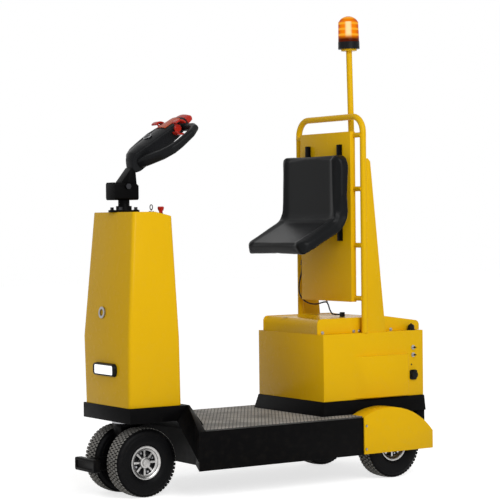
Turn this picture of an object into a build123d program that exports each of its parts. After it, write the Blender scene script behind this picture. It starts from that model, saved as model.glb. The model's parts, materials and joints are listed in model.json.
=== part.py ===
from build123d import *
from math import cos, pi, radians, sin, sqrt, tan
import os

os.makedirs("parts", exist_ok=True)

# Electric stand-on tug for baggage trolleys, in millimetres.
# X points forward, Y to the left, Z up, and the floor is at Z = 0.

# Sheet, plate and clearances
sheet = 4
plate = 6
turn_gap = 0.3
reach = 600

# Wheels and axles
wheel_d = 260
tyre_w = 84
tyre_wall_h = 29.5
tyre_shoulder_h = 14
tread_w = 50
rim_d = 125
rim_seat_d = 104
bead_w = 62
rim_wall = 4
front_axle_x = 565
wheelbase = 1045
front_track = 166
rear_track = 472
axle_d = 20
axle_seat = 14
axle_z = wheel_d / 2
rear_axle_x = front_axle_x - wheelbase
wheel_gap = 15

# Steering
trail = 15
steer_x = front_axle_x + trail
shaft_d = 30
neck_d = 43
bearing_above_wheel = 12
bearing_z = wheel_d + bearing_above_wheel
bearing_d = 110
yoke_w = 60
yoke_plate_d = 92
yoke_plate_thick = 14
housing_d = 64
push_reach = 196
push_w = 150
push_h = 48
push_below_axle = 28
push_low_z = axle_z - push_below_axle
push_high_z = push_low_z + push_h
push_thick = 26
push_recess = 4
bar_w = 40

# Nose tray below the column
tray_above_wheel = 24
tray_h = 56
tray_w = 359
tray_ahead = 100
tray_behind = 98
tray_slant = 49
tray_bottom_z = wheel_d + tray_above_wheel
tray_top_z = tray_bottom_z + tray_h
tray_front_x = front_axle_x + tray_ahead
tray_rear_bottom_x = front_axle_x - tray_behind
tray_rear_top_x = tray_rear_bottom_x - tray_slant

# Standing platform
deck_below_wheel = 6
deck_z = wheel_d - deck_below_wheel
skirt_h = 144
skirt_z = deck_z - skirt_h
deck_w = 640
deck_front_gap = 105
deck_front_x = front_axle_x - deck_front_gap
deck_rear_gap = 55
deck_rear_x = rear_axle_x + wheel_d / 2 + deck_rear_gap
well_gap = 60
well_x = front_axle_x - wheel_d / 2 - well_gap
well_w = 318
toe_l = 25
toe_x = well_x - toe_l
shoulder_lift = 32
shoulder_low_z = skirt_z + shoulder_lift
mat_thick = 6
mat_margin = 6

# Column cover of folded sheet, widest at its knee
column_h = 721
column_knee_h = 254
column_knee_z = tray_top_z + column_knee_h
column_top_z = tray_top_z + column_h
column_slope_x = steer_x - 46
column_slope_drop = 17
column_corner_r = 14
column_sections = (
    # z, front x, rear x, width
    (tray_top_z, steer_x + 82.5, steer_x - 143, tray_w - 23),
    (column_knee_z, steer_x + 84.5, steer_x - 134, tray_w - 7),
    (column_top_z, steer_x + 47.5, steer_x - 119, tray_w - 53),
)

# Headlamp and ring on the column's front
lamp_w = 163
lamp_h = 50
lamp_r = 18
lamp_rise = 135
lamp_z = tray_top_z + lamp_rise
lamp_proud = 15
lens_w = 137
lens_h = 34
lens_sunk = 4
ring_rise = 92
ring_z = column_knee_z + ring_rise
ring_y = -32
ring_d = 44
ring_w = 9
ring_proud = 7

# Bearing flange and tiller bracket on top of the column
flange_d = 117
flange_thick = 8
bell_d = 59
bell_h = 23
bell_neck_h = 8
bell_shoulder_z = column_top_z + bell_h
bell_top_z = bell_shoulder_z + bell_neck_h
bracket_gap = 14
bracket_h = 66
bracket_bottom_z = bell_top_z + bracket_gap
bracket_top_z = bracket_bottom_z + bracket_h
bracket_ahead = 57
bracket_behind = 45
bracket_front_x = steer_x + bracket_ahead
bracket_rear_x = steer_x - bracket_behind
bracket_w = 69
bracket_r = 10
bracket_cut = 13
cheek = 6
pivot_ahead = 2
pivot_h = 51
pivot_x = steer_x + pivot_ahead
pivot_z = bracket_bottom_z + pivot_h
pivot_d = 12
pivot_head = 8

# Tiller, in its own directions: u along the tiller, v square to its top
tiller_angle = 40
stem_w = 47
head_start_u = 64
head_end_u = 356
head_sections = (
    # u, half width, low v, top v, fall of the crown
    (head_start_u, 24, 12, 36, 4),
    (head_start_u + 20, 28, 4, 66, 8),
    (head_start_u + 40, 34, 4, 79, 9),
    (head_start_u + 86, 48, 4, 79, 11),
    (head_end_u - 66, 56, 4, 63, 12),
    (head_end_u, 48, 10, 50, 10),
)
cover_sections = (
    (head_end_u - 88, 34, 45, 69.2, 4.6),
    (head_end_u - 10, 34, 35, 54.6, 5),
)
tip_sections = (
    (head_end_u, 46, 12, 48, 9),
    (head_end_u + 24, 44, 14, 42, 8),
    (head_end_u + 33, 36, 18, 32, 5),
)
loop_bar = 32
loop_middle_y = 152
loop_edge = 8
lever_u = head_end_u - 58
lever_v = 40
lever_r = 26
lever_bar = 7
lever_hub_d = 30
lever_root_y = 48
lever_inner_y = 57
lever_outer_y = 92
lever_web = 8

# Emergency stop and key switch on the column's top
stop_behind = 116
stop_x = steer_x - stop_behind
stop_y = 75
key_behind = 80
key_x = steer_x - key_behind
key_y = 66

# Battery and drive box, placed from the rear axle and the deck
box_ahead = 305
box_behind = 191.5
box_front_x = rear_axle_x + box_ahead
box_rear_x = rear_axle_x - box_behind
box_w = 450
plinth_h = 60
box_h = 262
box_bottom_z = deck_z + plinth_h
box_top_z = box_bottom_z + box_h
bulge_front_gap = 143
bulge_front_slope = 51
bulge_rear_gap = 75.5
bulge_rear_slope = 20
bulge_lift = 6
bulge_h = 164
bulge_out = 25
bulge_front_x = box_front_x - bulge_front_gap
bulge_flat_x = bulge_front_x - bulge_front_slope
bulge_rear_x = box_rear_x + bulge_rear_gap
bulge_bottom_z = box_bottom_z + bulge_lift
bulge_top_z = bulge_bottom_z + bulge_h

# Lid, narrower than the box by a ledge on each side
lid_ledge = 37
lid_h = 60
lid_rear_h = 36
lid_slope_l = 159.5
lid_w = box_w - 2 * lid_ledge
lid_top_z = box_top_z + lid_h
lid_rear_top_z = box_top_z + lid_rear_h
lid_flat_x = box_rear_x + lid_slope_l
lid_front_over = 2
lid_rear_over = 10
lid_r = 30
lid_end_r = 20
lid_proud = 2

# Plinth and rear frame below the box
plinth_flare = 9
plinth_ledge = 6
rail_w = 40
rail_h = 54
rail_y = 140
cross_w = 39.5
cross_h = 58
battery_w = 340
battery_h = 220

# Drive axle
axle_tube_d = 56
gear_case_d = 116
gear_case_w = 100
motor_d = 104
motor_l = 170
hanger_l = 80
hanger_w = 24

# Fenders over the rear wheels
fender_lip = 5
fender_gap = 1
fender_top_lift = 3
fender_rear_gap = 26.5
fender_bottom_lift = 2
fender_crest_ahead = 60
fender_crest_fall = 12

# Hoop, uprights and back panel
hoop_d = 25
hoop_behind = 208
hoop_inset = 8
hoop_h = 856
hoop_x = box_front_x - hoop_behind
hoop_y = box_w / 2 - hoop_inset
hoop_top_z = box_top_z + hoop_h
hoop_bend_r = 64
stub_d = 20
stub_ahead = 6
stub_x = hoop_x + stub_ahead
upright_drop = 167
upright_foot_l = 102
upright_head_l = 33
upright_top_z = hoop_top_z - upright_drop
upright_bottom_x = hoop_x - upright_foot_l
upright_top_x = hoop_x - upright_head_l
upright_corner = 12
panel_ahead = 28
panel_gap = 47
panel_above_box = 121
panel_below_hoop = 59
panel_x = hoop_x + panel_ahead
panel_half_w = hoop_y - panel_gap
panel_low_z = box_top_z + panel_above_box
panel_high_z = hoop_top_z - panel_below_hoop
panel_return = 25
panel_corner_r = 40
stub_heights = (panel_low_z + 15, panel_low_z + 225, panel_high_z - 228, panel_high_z - 15)

# Seat, made along a bent spine
seat_half_w = 205
seat_thick = 48
seat_below_hoop = 150
seat_back_h = 270
seat_top_z = hoop_top_z - seat_below_hoop
seat_knee_z = seat_top_z - seat_back_h
seat_bend_r = 75
seat_pan_l = 226
seat_pan_angle = 27
seat_corner_r = 48
seat_pan_corner_r = 70
seat_dish = 9
seat_flange = 11
seat_gap = 22
rail_slot_y = 107
rail_slot_w = 20
rail_slot_deep = 14
rail_drop = 50
rail_l = 384
rail_high_z = panel_high_z - rail_drop
rail_low_z = rail_high_z - rail_l
bracket_plate_h = 140
bracket_plate_rise = 98
bracket_plate_z = seat_knee_z + bracket_plate_rise

# Beacon on a pole that leans forward against the hoop
pole_d = 24
pole_wall = 3
pole_lean = 1.3
pole_y = 107
pole_foot_drop = 166
pole_rise = 265
pole_low_z = hoop_top_z - pole_foot_drop
pole_top_z = hoop_top_z + pole_rise
pole_clip_h = 30
pole_clip_w = 18
disc_d = 62
disc_thick = 8
beacon_base_d = 86
beacon_base_h = 28
beacon_d = 84
beacon_rise = 139
beacon_top_z = pole_top_z + beacon_rise
beacon_dome = 24
beacon_taper = 2

# Rear coupling jaw and its pin
jaw_reach = 89.5
jaw_w = 84
jaw_below_deck = 28
jaw_z = deck_z - jaw_below_deck
jaw_gap = 56
jaw_plate = 12
jaw_pin_inset = 34
pin_d = 20
pin_ring_d = 48
pin_ring_bar = 8

# Seat switch cable, its gland on the panel and its plug on the lid
cable_d = 6
gland_d = 14
gland_h = 22
plug_l = 16
plug_w = 14


def save(builder, label):
    builder.part.label = label
    export_step(builder.part, f"parts/{label}.step")


def block(x0, x1, y0, y1, z0, z1, mode=Mode.ADD):
    """Adds a box between two corners to the open part."""
    with BuildSketch(Plane.XY.offset(z0)) as base:
        with Locations(((x0 + x1) / 2, (y0 + y1) / 2)):
            Rectangle(x1 - x0, y1 - y0)
    extrude(base.sketch, amount=z1 - z0, mode=mode)


def disc(x, y, z, diameter, height, mode=Mode.ADD):
    """Adds an upright cylinder that stands on z to the open part."""
    with BuildSketch(Plane.XY.offset(z)) as base:
        with Locations((x, y)):
            Circle(diameter / 2)
    extrude(base.sketch, amount=height, mode=mode)


def bar_across(x, z, diameter, y0, y1, mode=Mode.ADD):
    """Adds a cylinder along Y to the open part."""
    with BuildSketch(side_plane(y0)) as base:
        with Locations((x, z)):
            Circle(diameter / 2)
    extrude(base.sketch, amount=y0 - y1, mode=mode)


def side_plane(y):
    """Plane that looks along Y: its x is X and its y is Z."""
    return Plane(origin=(0, y, 0), x_dir=(1, 0, 0), z_dir=(0, -1, 0))


def side_profile(points, y0, y1, mode=Mode.ADD):
    """Extrudes a closed outline of (x, z) points from y0 to y1."""
    with BuildSketch(side_plane(y0)) as outline:
        with BuildLine():
            Polyline(*points, close=True)
        make_face()
    extrude(outline.sketch, amount=y0 - y1, mode=mode)


# Tyres: lofted through many-sided sections, from the outer bead round the tread
tyre_sides = 72
tyre_sections = (
    # distance from the middle, radius
    (bead_w / 2, rim_d / 2),
    (tyre_w / 2, rim_d / 2 + tyre_wall_h),
    (tyre_w / 2 - 2, wheel_d / 2 - tyre_shoulder_h),
    (tread_w / 2, wheel_d / 2),
)


def tyre(x, y):
    with BuildPart() as part:
        left = [(half, radius) for half, radius in tyre_sections]
        right = [(-half, radius) for half, radius in reversed(tyre_sections)]
        for out, radius in left + right:
            with BuildSketch(side_plane(y + out)):
                with Locations((x, axle_z)):
                    RegularPolygon(radius, tyre_sides)
        loft(ruled=True)
        with BuildSketch(side_plane(y - tyre_w)) as bead:
            with Locations((x, axle_z)):
                RegularPolygon(rim_seat_d / 2, tyre_sides, major_radius=False)
        extrude(bead.sketch, amount=-2 * tyre_w, mode=Mode.SUBTRACT)
    return part


# Rims: a turned barrel with two lips, and a dished disc with eight windows
window_count = 8
window_margin = 4
window_hub_gap = 3
window_inner_turn = radians(12)
window_outer_turn = radians(15)
rim_disc = 6
rim_dish = 14
hub_d = 46
window_inner_r = hub_d / 2 + window_hub_gap
window_outer_r = rim_seat_d / 2 - rim_wall - window_margin
hub_deep = 20
hub_proud = 8
hub_cap_d = 30
hub_cap = 6


def rim(x, y, side):
    """A rim at (x, y) whose open face looks to the given side."""
    lip = rim_d / 2
    seat = rim_seat_d / 2
    half = bead_w / 2
    with BuildPart() as part:
        with BuildSketch(Plane.YZ.offset(x)):
            with BuildLine():
                Polyline(
                    (y - half - rim_wall, axle_z + lip),
                    (y - half, axle_z + lip),
                    (y - half, axle_z + seat),
                    (y + half, axle_z + seat),
                    (y + half, axle_z + lip),
                    (y + half + rim_wall, axle_z + lip),
                    (y + half + rim_wall, axle_z + seat - rim_wall),
                    (y - half - rim_wall, axle_z + seat - rim_wall),
                    close=True,
                )
            make_face()
        revolve(axis=Axis((x, 0, axle_z), (0, 1, 0)))
        disc_y = y + side * (half - rim_dish)
        face = Plane(origin=(x, disc_y, axle_z), x_dir=(1, 0, 0), z_dir=(0, side, 0))
        with BuildSketch(face):
            Circle(seat - rim_wall)
            with PolarLocations(0, window_count):
                with BuildLine():
                    corners = [
                        (r * cos(turn), r * sin(turn))
                        for r, turn in (
                            (window_inner_r, -window_inner_turn),
                            (window_outer_r, -window_outer_turn),
                            (window_outer_r, window_outer_turn),
                            (window_inner_r, window_inner_turn),
                        )
                    ]
                    Polyline(*corners, close=True)
                make_face(mode=Mode.SUBTRACT)
        extrude(amount=rim_disc)
        with BuildSketch(face.offset(-hub_deep)):
            Circle(hub_d / 2)
        extrude(amount=hub_deep + rim_disc + hub_proud)
        with BuildSketch(face.offset(rim_disc + hub_proud)):
            Circle(hub_cap_d / 2)
        extrude(amount=hub_cap, taper=20)
        with BuildSketch(face.offset(-hub_deep)):
            Circle(axle_d / 2)
        extrude(amount=hub_deep + rim_wall, mode=Mode.SUBTRACT)
    return part


for end, x, track in (("front", front_axle_x, front_track), ("rear", rear_axle_x, rear_track)):
    for name, side in (("left", 1), ("right", -1)):
        save(tyre(x, side * track / 2), f"{end}_tyre_{name}")
        save(rim(x, side * track / 2, side), f"{end}_rim_{name}")

# Front axle: one shaft through the yoke, seated in both hubs
hub_seat = bead_w / 2 - axle_seat + rim_wall
with BuildPart() as front_axle:
    half = front_track / 2 + hub_seat
    bar_across(front_axle_x, axle_z, axle_d, -half, half)
save(front_axle, "front_axle")

# Steering yoke: bearing plate, leaning pillar and axle housing
pillar_rear_x = front_axle_x - housing_d / 2
pillar_front_x = steer_x + 36
pillar_top_x = 40
pillar_knee_z = axle_z + 60
yoke_top_z = bearing_z - turn_gap
with BuildPart() as steering_yoke:
    disc(steer_x, 0, yoke_top_z - yoke_plate_thick, yoke_plate_d, yoke_plate_thick)
    side_profile(
        (
            (steer_x - pillar_top_x, yoke_top_z - yoke_plate_thick / 2),
            (steer_x + pillar_top_x, yoke_top_z - yoke_plate_thick / 2),
            (pillar_front_x, pillar_knee_z),
            (pillar_front_x, axle_z),
            (pillar_rear_x, axle_z),
            (pillar_rear_x, pillar_knee_z),
        ),
        -yoke_w / 2,
        yoke_w / 2,
    )
    bar_across(front_axle_x, axle_z, housing_d, -yoke_w / 2, yoke_w / 2)
    bar_across(front_axle_x, axle_z, axle_d + 2 * turn_gap, -yoke_w, yoke_w, Mode.SUBTRACT)
save(steering_yoke, "steering_yoke")

# Front coupling: a bar from the pillar and a wide push plate with a recessed face
push_x = front_axle_x + push_reach
push_rim = 11
push_r = 8
with BuildPart() as front_coupling:
    block(pillar_front_x, push_x - push_thick, -bar_w / 2, bar_w / 2, push_low_z, push_high_z)
    for start, deep, margin, radius, mode in (
        (push_x - push_thick, push_thick, 0, push_r, Mode.ADD),
        (push_x - push_recess, push_recess, push_rim, push_r, Mode.SUBTRACT),
    ):
        with BuildSketch(Plane.YZ.offset(start)):
            with Locations((0, (push_low_z + push_high_z) / 2)):
                RectangleRounded(push_w - 2 * margin, push_high_z - push_low_z - 2 * margin, radius)
        extrude(amount=deep, mode=mode)
save(front_coupling, "front_coupling")

# Steering bearing below the tray, and the shaft up to the tiller
with BuildPart() as steering_bearing:
    disc(steer_x, 0, bearing_z, bearing_d, tray_bottom_z - bearing_z)
    disc(steer_x, 0, bearing_z, shaft_d + 2 * turn_gap, tray_bottom_z - bearing_z, Mode.SUBTRACT)
save(steering_bearing, "steering_bearing")

with BuildPart() as steering_shaft:
    neck_z = bell_top_z + turn_gap
    disc(steer_x, 0, yoke_top_z, shaft_d, neck_z - yoke_top_z)
    disc(steer_x, 0, neck_z, neck_d, bracket_bottom_z - neck_z)
save(steering_shaft, "steering_shaft")

# Nose tray, open below the column and bored for the shaft
shaft_hole_d = shaft_d + 4
tray_slope = (tray_rear_bottom_x - tray_rear_top_x) / (tray_top_z - tray_bottom_z)
tray_ledge = 20
with BuildPart() as nose_tray:
    side_profile(
        (
            (tray_front_x, tray_bottom_z),
            (tray_front_x, tray_top_z),
            (tray_rear_top_x, tray_top_z),
            (tray_rear_bottom_x, tray_bottom_z),
        ),
        -tray_w / 2,
        tray_w / 2,
    )
    side_profile(
        (
            (tray_front_x - plate, tray_bottom_z + plate),
            (tray_front_x - plate, tray_top_z - plate),
            (tray_rear_top_x + plate + tray_slope * plate, tray_top_z - plate),
            (tray_rear_bottom_x + plate - tray_slope * plate, tray_bottom_z + plate),
        ),
        -tray_w / 2 + plate,
        tray_w / 2 - plate,
        Mode.SUBTRACT,
    )
    foot = column_sections[0]
    block(foot[2] + tray_ledge, foot[1] - tray_ledge, -foot[3] / 2 + tray_ledge, foot[3] / 2 - tray_ledge,
          tray_top_z - 2 * plate, tray_top_z + plate, Mode.SUBTRACT)
    disc(steer_x, 0, tray_bottom_z - plate, shaft_hole_d, 3 * plate, Mode.SUBTRACT)
save(nose_tray, "nose_tray")

# Platform: an upturned tray whose front is cut back round the wheels,
# with the gooseneck and the two slanted shoulders that carry the nose
neck_band = 20
shoulder_band = 30
with BuildPart() as platform:
    with BuildSketch(Plane.XY.offset(skirt_z)):
        with BuildLine():
            Polyline(
                (deck_rear_x, -deck_w / 2),
                (deck_front_x, -deck_w / 2),
                (well_x, -well_w / 2),
                (well_x, well_w / 2),
                (deck_front_x, deck_w / 2),
                (deck_rear_x, deck_w / 2),
                close=True,
            )
        make_face()
    extrude(amount=deck_z - skirt_z)
    offset(amount=-plate, openings=platform.faces().sort_by(Axis.Z)[0])
    side_profile(
        (
            (tray_rear_bottom_x, tray_bottom_z),
            (tray_rear_top_x, tray_top_z),
            (tray_rear_top_x - plate, tray_top_z),
            (toe_x, deck_z + mat_thick),
            (toe_x, deck_z - plate / 2),
            (well_x, deck_z - neck_band),
        ),
        -tray_w / 2,
        tray_w / 2,
    )
    for side in (-1, 1):
        with BuildSketch(side_plane(side * tray_w / 2)):
            with BuildLine():
                Polyline(
                    (tray_rear_bottom_x, tray_bottom_z),
                    (tray_rear_top_x, tray_top_z),
                    (tray_rear_top_x - shoulder_band, tray_top_z - shoulder_band),
                    (tray_rear_bottom_x - 2 * shoulder_band, tray_bottom_z - 2 * neck_band),
                    close=True,
                )
            make_face()
        with BuildSketch(side_plane(side * deck_w / 2)):
            with BuildLine():
                Polyline(
                    (deck_front_x, shoulder_low_z),
                    (deck_front_x, deck_z),
                    (deck_front_x - shoulder_band, deck_z),
                    (deck_front_x - shoulder_band, shoulder_low_z),
                    close=True,
                )
            make_face()
        loft(ruled=True)
save(platform, "platform")

# Rubber mat on the deck, cut round the plinth
plinth_front_x = box_front_x + 2 * plinth_flare
plinth_w = box_w + 2 * plinth_ledge + 2 * plinth_flare
mat_gap = 2
with BuildPart() as deck_mat:
    block(deck_rear_x + mat_gap, toe_x - mat_gap, -deck_w / 2 + mat_margin, deck_w / 2 - mat_margin,
          deck_z, deck_z + mat_thick)
    block(deck_rear_x, plinth_front_x + mat_gap, -plinth_w / 2 - mat_gap, plinth_w / 2 + mat_gap,
          deck_z, deck_z + mat_thick, Mode.SUBTRACT)
save(deck_mat, "deck_mat")


# Column cover of folded sheet, lofted through its sections
corner_steps = 4


def rounded_corners(front_x, rear_x, half_w, radius):
    """Points round a rectangle whose corners turn in even steps."""
    points = []
    near_x = front_x - radius
    far_x = rear_x + radius
    side_y = half_w - radius
    centres = ((near_x, side_y), (far_x, side_y), (far_x, -side_y), (near_x, -side_y))
    for quarter, (x, y) in enumerate(centres):
        for step in range(corner_steps + 1):
            turn = (quarter + step / corner_steps) * pi / 2
            points.append((x + radius * cos(turn), y + radius * sin(turn)))
    return points


def column_form(inset):
    """The column's outer form, or its hollow when set in by the sheet."""
    with BuildPart() as form:
        for z, front_x, rear_x, width in column_sections:
            level = z - inset if z == column_top_z else z
            with BuildSketch(Plane.XY.offset(level)):
                with BuildLine():
                    Polyline(*rounded_corners(front_x - inset, rear_x + inset, width / 2 - inset,
                                              column_corner_r - inset), close=True)
                make_face()
        loft(ruled=True)
        rear_x = column_sections[-1][2]
        side_profile(
            (
                (column_slope_x, column_top_z - inset),
                (2 * rear_x - column_slope_x, column_top_z - inset - 2 * column_slope_drop),
                (2 * rear_x - column_slope_x, column_top_z),
                (column_slope_x, column_top_z),
            ),
            -reach,
            reach,
            Mode.SUBTRACT,
        )
    return form.part


column_solid = column_form(0)
with BuildPart() as column_cover:
    add(column_solid)
    add(column_form(sheet), mode=Mode.SUBTRACT)
    disc(steer_x, 0, column_top_z - 2 * plate, shaft_hole_d, 3 * plate, Mode.SUBTRACT)
save(column_cover, "column_cover")


def face_plane(z, y=0, out=0):
    """Plane on the column's front face at a height, facing forward."""
    low, knee, high = column_sections
    below, above = (low, knee) if z < knee[0] else (knee, high)
    lean = (above[1] - below[1]) / (above[0] - below[0])
    length = sqrt(1 + lean * lean)
    x = below[1] + lean * (z - below[0])
    origin = (x + out / length, y, z - out * lean / length)
    return Plane(origin=origin, x_dir=(0, 1, 0), z_dir=(1, 0, -lean))


lens_r = 6
lens_gap = 0.2
with BuildPart() as headlamp_bezel:
    with BuildSketch(face_plane(lamp_z)):
        RectangleRounded(lamp_w, lamp_h, lamp_r)
    extrude(amount=lamp_proud, taper=12)
    with BuildSketch(face_plane(lamp_z, out=lens_sunk)):
        RectangleRounded(lens_w, lens_h, lens_r)
    extrude(amount=lamp_proud, mode=Mode.SUBTRACT)
save(headlamp_bezel, "headlamp_bezel")

with BuildPart() as headlamp_lens:
    with BuildSketch(face_plane(lamp_z, out=lens_sunk)):
        RectangleRounded(lens_w - 2 * lens_gap, lens_h - 2 * lens_gap, lens_r)
    extrude(amount=lamp_proud - lens_sunk - 2)
save(headlamp_lens, "headlamp_lens")

with BuildPart() as column_ring:
    with BuildSketch(face_plane(ring_z, ring_y)):
        Circle(ring_d / 2)
        Circle(ring_d / 2 - ring_w, mode=Mode.SUBTRACT)
    extrude(amount=ring_proud)
save(column_ring, "column_ring")

# Bearing flange and bell on the column's top
with BuildPart() as steering_flange:
    disc(steer_x, 0, column_top_z, flange_d, flange_thick)
    disc(steer_x, 0, column_top_z, bell_d, bell_shoulder_z - column_top_z)
    disc(steer_x, 0, bell_shoulder_z, neck_d, bell_top_z - bell_shoulder_z)
    disc(steer_x, 0, column_top_z, shaft_d + 2 * turn_gap, bell_top_z - column_top_z, Mode.SUBTRACT)
save(steering_flange, "steering_flange")

# Tiller bracket: a trough of bent plate closed by a front wall
bracket_z = (bracket_bottom_z + bracket_top_z) / 2
with BuildPart() as tiller_bracket:
    with BuildSketch(Plane.YZ.offset(bracket_rear_x)) as trough:
        with Locations((0, bracket_z)):
            Rectangle(bracket_w, bracket_h)
        fillet(trough.vertices().group_by(Axis.Z)[0], bracket_r)
        with Locations((0, bracket_z + cheek)):
            Rectangle(bracket_w - 2 * cheek, bracket_h, mode=Mode.SUBTRACT)
    extrude(amount=bracket_front_x - bracket_rear_x)
    with BuildSketch(Plane.YZ.offset(bracket_front_x - cheek)):
        with Locations((0, bracket_z)):
            RectangleRounded(bracket_w, bracket_h, bracket_r)
    extrude(amount=cheek)
    side_profile(
        (
            (bracket_rear_x, bracket_top_z - bracket_cut),
            (bracket_rear_x + bracket_cut, bracket_top_z),
            (bracket_rear_x, bracket_top_z),
        ),
        -bracket_w,
        bracket_w,
        Mode.SUBTRACT,
    )
    bar_across(pivot_x, pivot_z, pivot_d, -bracket_w, bracket_w, Mode.SUBTRACT)
save(tiller_bracket, "tiller_bracket")

with BuildPart() as tiller_pivot:
    bar_across(pivot_x, pivot_z, pivot_d, -bracket_w / 2, bracket_w / 2)
    for side in (-1, 1):
        with BuildSketch(side_plane(side * bracket_w / 2)):
            with Locations((pivot_x, pivot_z)):
                RegularPolygon(pivot_d * 0.95, 6)
        extrude(amount=-side * pivot_head)
save(tiller_pivot, "tiller_pivot")

# Tiller frame: u climbs back along the tiller and v stands square to it
lean = radians(tiller_angle)
along = (-cos(lean), 0, sin(lean))
square = (sin(lean), 0, cos(lean))
pivot = (pivot_x, 0, pivot_z)
tiller_side = Plane(origin=pivot, x_dir=along, z_dir=(0, 1, 0))
tiller_plan = Plane(origin=pivot, x_dir=along, z_dir=(-sin(lean), 0, -cos(lean)))
tiller_across = Plane(origin=pivot, x_dir=(0, -1, 0), z_dir=along)

# Stem: a box that widens down to the pivot
with BuildPart() as tiller_stem:
    with BuildSketch(tiller_side.offset(-stem_w / 2)):
        with BuildLine():
            Polyline(
                (head_start_u, 38),
                (-3, 25),
                (-28, 1),
                (-19, -26),
                (17, -41),
                (34, -32),
                (head_start_u, 11),
                close=True,
            )
        make_face()
        Circle(pivot_d / 2 + turn_gap, mode=Mode.SUBTRACT)
    extrude(amount=stem_w)
save(tiller_stem, "tiller_stem")


def crowned(sections):
    """A form along the tiller with a flat underside and a crowned top."""
    with BuildPart() as form:
        for u, half, low, top, fall in sections:
            side_v = top - fall
            with BuildSketch(tiller_across.offset(u)):
                with BuildLine():
                    Polyline((-half, side_v), (-half, low), (half, low), (half, side_v))
                    ThreePointArc((half, side_v), (0, top), (-half, side_v))
                make_face()
        loft(ruled=True)
    return form.part


head_solid = crowned(head_sections)
with BuildPart() as tiller_head:
    add(head_solid)
save(tiller_head, "tiller_head")

# Cover let onto the head's top, and the wide button at its tip
with BuildPart() as head_cover:
    add(crowned(cover_sections))
    add(head_solid, mode=Mode.SUBTRACT)
save(head_cover, "head_cover")

with BuildPart() as tiller_button:
    add(crowned(tip_sections))
save(tiller_button, "tiller_button")

# Hand loops: a bar lofted round each side of the head, deepest where it leaves the stem
loop_path = (
    # u, y, v of the bar's middle, height of the bar
    (head_start_u + 34, 14, 30, 40),
    (head_start_u + 52, 56, 29, 42),
    (head_start_u + 90, loop_middle_y - 34, 24, 38),
    (head_start_u + 124, loop_middle_y - 7, 21, 36),
    (head_start_u + 158, loop_middle_y, 19, 34),
    (head_end_u - 72, loop_middle_y, 17, 30),
    (head_end_u - 40, loop_middle_y - 16, 16, 27),
    (head_end_u - 28, loop_middle_y - 44, 16, 26),
    (head_end_u - 28, 20, 16, 26),
)


def bar_outline(width, height, corner):
    """Eight points round a bar whose corners are cut."""
    return [
        (side * x, end * y)
        for side, end in ((1, 1), (-1, 1), (-1, -1), (1, -1))
        for x, y in (
            ((width / 2, height / 2 - corner), (width / 2 - corner, height / 2))
            if side == end
            else ((width / 2 - corner, height / 2), (width / 2, height / 2 - corner))
        )
    ]


for name, side in (("left", 1), ("right", -1)):
    middles = [tiller_plan.from_local_coords(Vector(u, side * y, -v)) for u, y, v, _ in loop_path]
    with BuildPart() as tiller_loop:
        for index, (_, _, _, height) in enumerate(loop_path):
            run_in = (middles[index] - middles[max(index - 1, 0)]).normalized() if index else Vector()
            last = index == len(middles) - 1
            run_out = Vector() if last else (middles[index + 1] - middles[index]).normalized()
            heading = (run_in + run_out).normalized()
            mitre = (run_in + run_out).length / 2 if index and not last else 1
            here = Plane(origin=middles[index], x_dir=heading.cross(Vector(*square)), z_dir=heading)
            with BuildSketch(here):
                with BuildLine():
                    Polyline(*bar_outline(loop_bar / mitre, height, loop_edge), close=True)
                make_face()
        loft(ruled=True)
        add(head_solid, mode=Mode.SUBTRACT)
    save(tiller_loop, f"tiller_loop_{name}")

# Thumb levers: a hub on each side of the head with an upper and a lower paddle
lever_arcs = [
    CenterArc((lever_u, lever_v), lever_r, start, turn) for start, turn in ((5, 95), (190, 60))
]
lever_webs = (
    ((-5, 0), (0, lever_r), (10, 5)),
    ((4, 0), (-lever_r, -8), (-4, -10)),
)
with BuildPart() as thumb_levers:
    for side in (-1, 1):
        with BuildSketch(tiller_side.offset(side * lever_root_y)):
            with Locations((lever_u, lever_v - 4)):
                Circle(lever_hub_d / 2)
        extrude(amount=side * (lever_inner_y + lever_web - lever_root_y))
        with BuildSketch(tiller_side.offset(side * lever_inner_y)):
            for arc in lever_arcs:
                SlotArc(arc, lever_bar)
        extrude(amount=side * (lever_outer_y - lever_inner_y))
        for web in lever_webs:
            with BuildSketch(tiller_side.offset(side * lever_inner_y)):
                with BuildLine():
                    Polyline(*((lever_u + u, lever_v + v) for u, v in web), close=True)
                make_face()
            extrude(amount=side * lever_web)
    add(head_solid, mode=Mode.SUBTRACT)
save(thumb_levers, "thumb_levers")


def top_z(x):
    """Height of the column's top at an x."""
    rear_x = column_sections[-1][2]
    return column_top_z - max(0, column_slope_x - x) * column_slope_drop / (column_slope_x - rear_x)


# Emergency stop and key switch, seated on the sloping top
control_seat = 8
for label, x, y, stages in (
    # diameter, height and taper of each stage from the sheet up
    ("emergency_stop", stop_x, stop_y, ((17, 12, 0), (14, 8, 0), (19, 12, -15), (24, 4, 25))),
    ("key_switch", key_x, key_y, ((26, 6, 0), (20, 5, 0), (5, 8, 0))),
):
    with BuildPart() as control:
        z = top_z(x) - control_seat
        for index, (diameter, height, taper) in enumerate(stages):
            step = height + (control_seat if index == 0 else 0)
            with BuildSketch(Plane.XY.offset(z)):
                with Locations((x, y)):
                    Circle(diameter / 2)
            extrude(amount=step, taper=taper)
            z += step
        if label == "key_switch":
            with BuildSketch(Plane.YZ.offset(x - 1)):
                with Locations((y, z + 6)):
                    Circle(11)
                    Circle(8, mode=Mode.SUBTRACT)
            extrude(amount=2)
        add(column_solid, mode=Mode.SUBTRACT)
    save(control, label)

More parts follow.
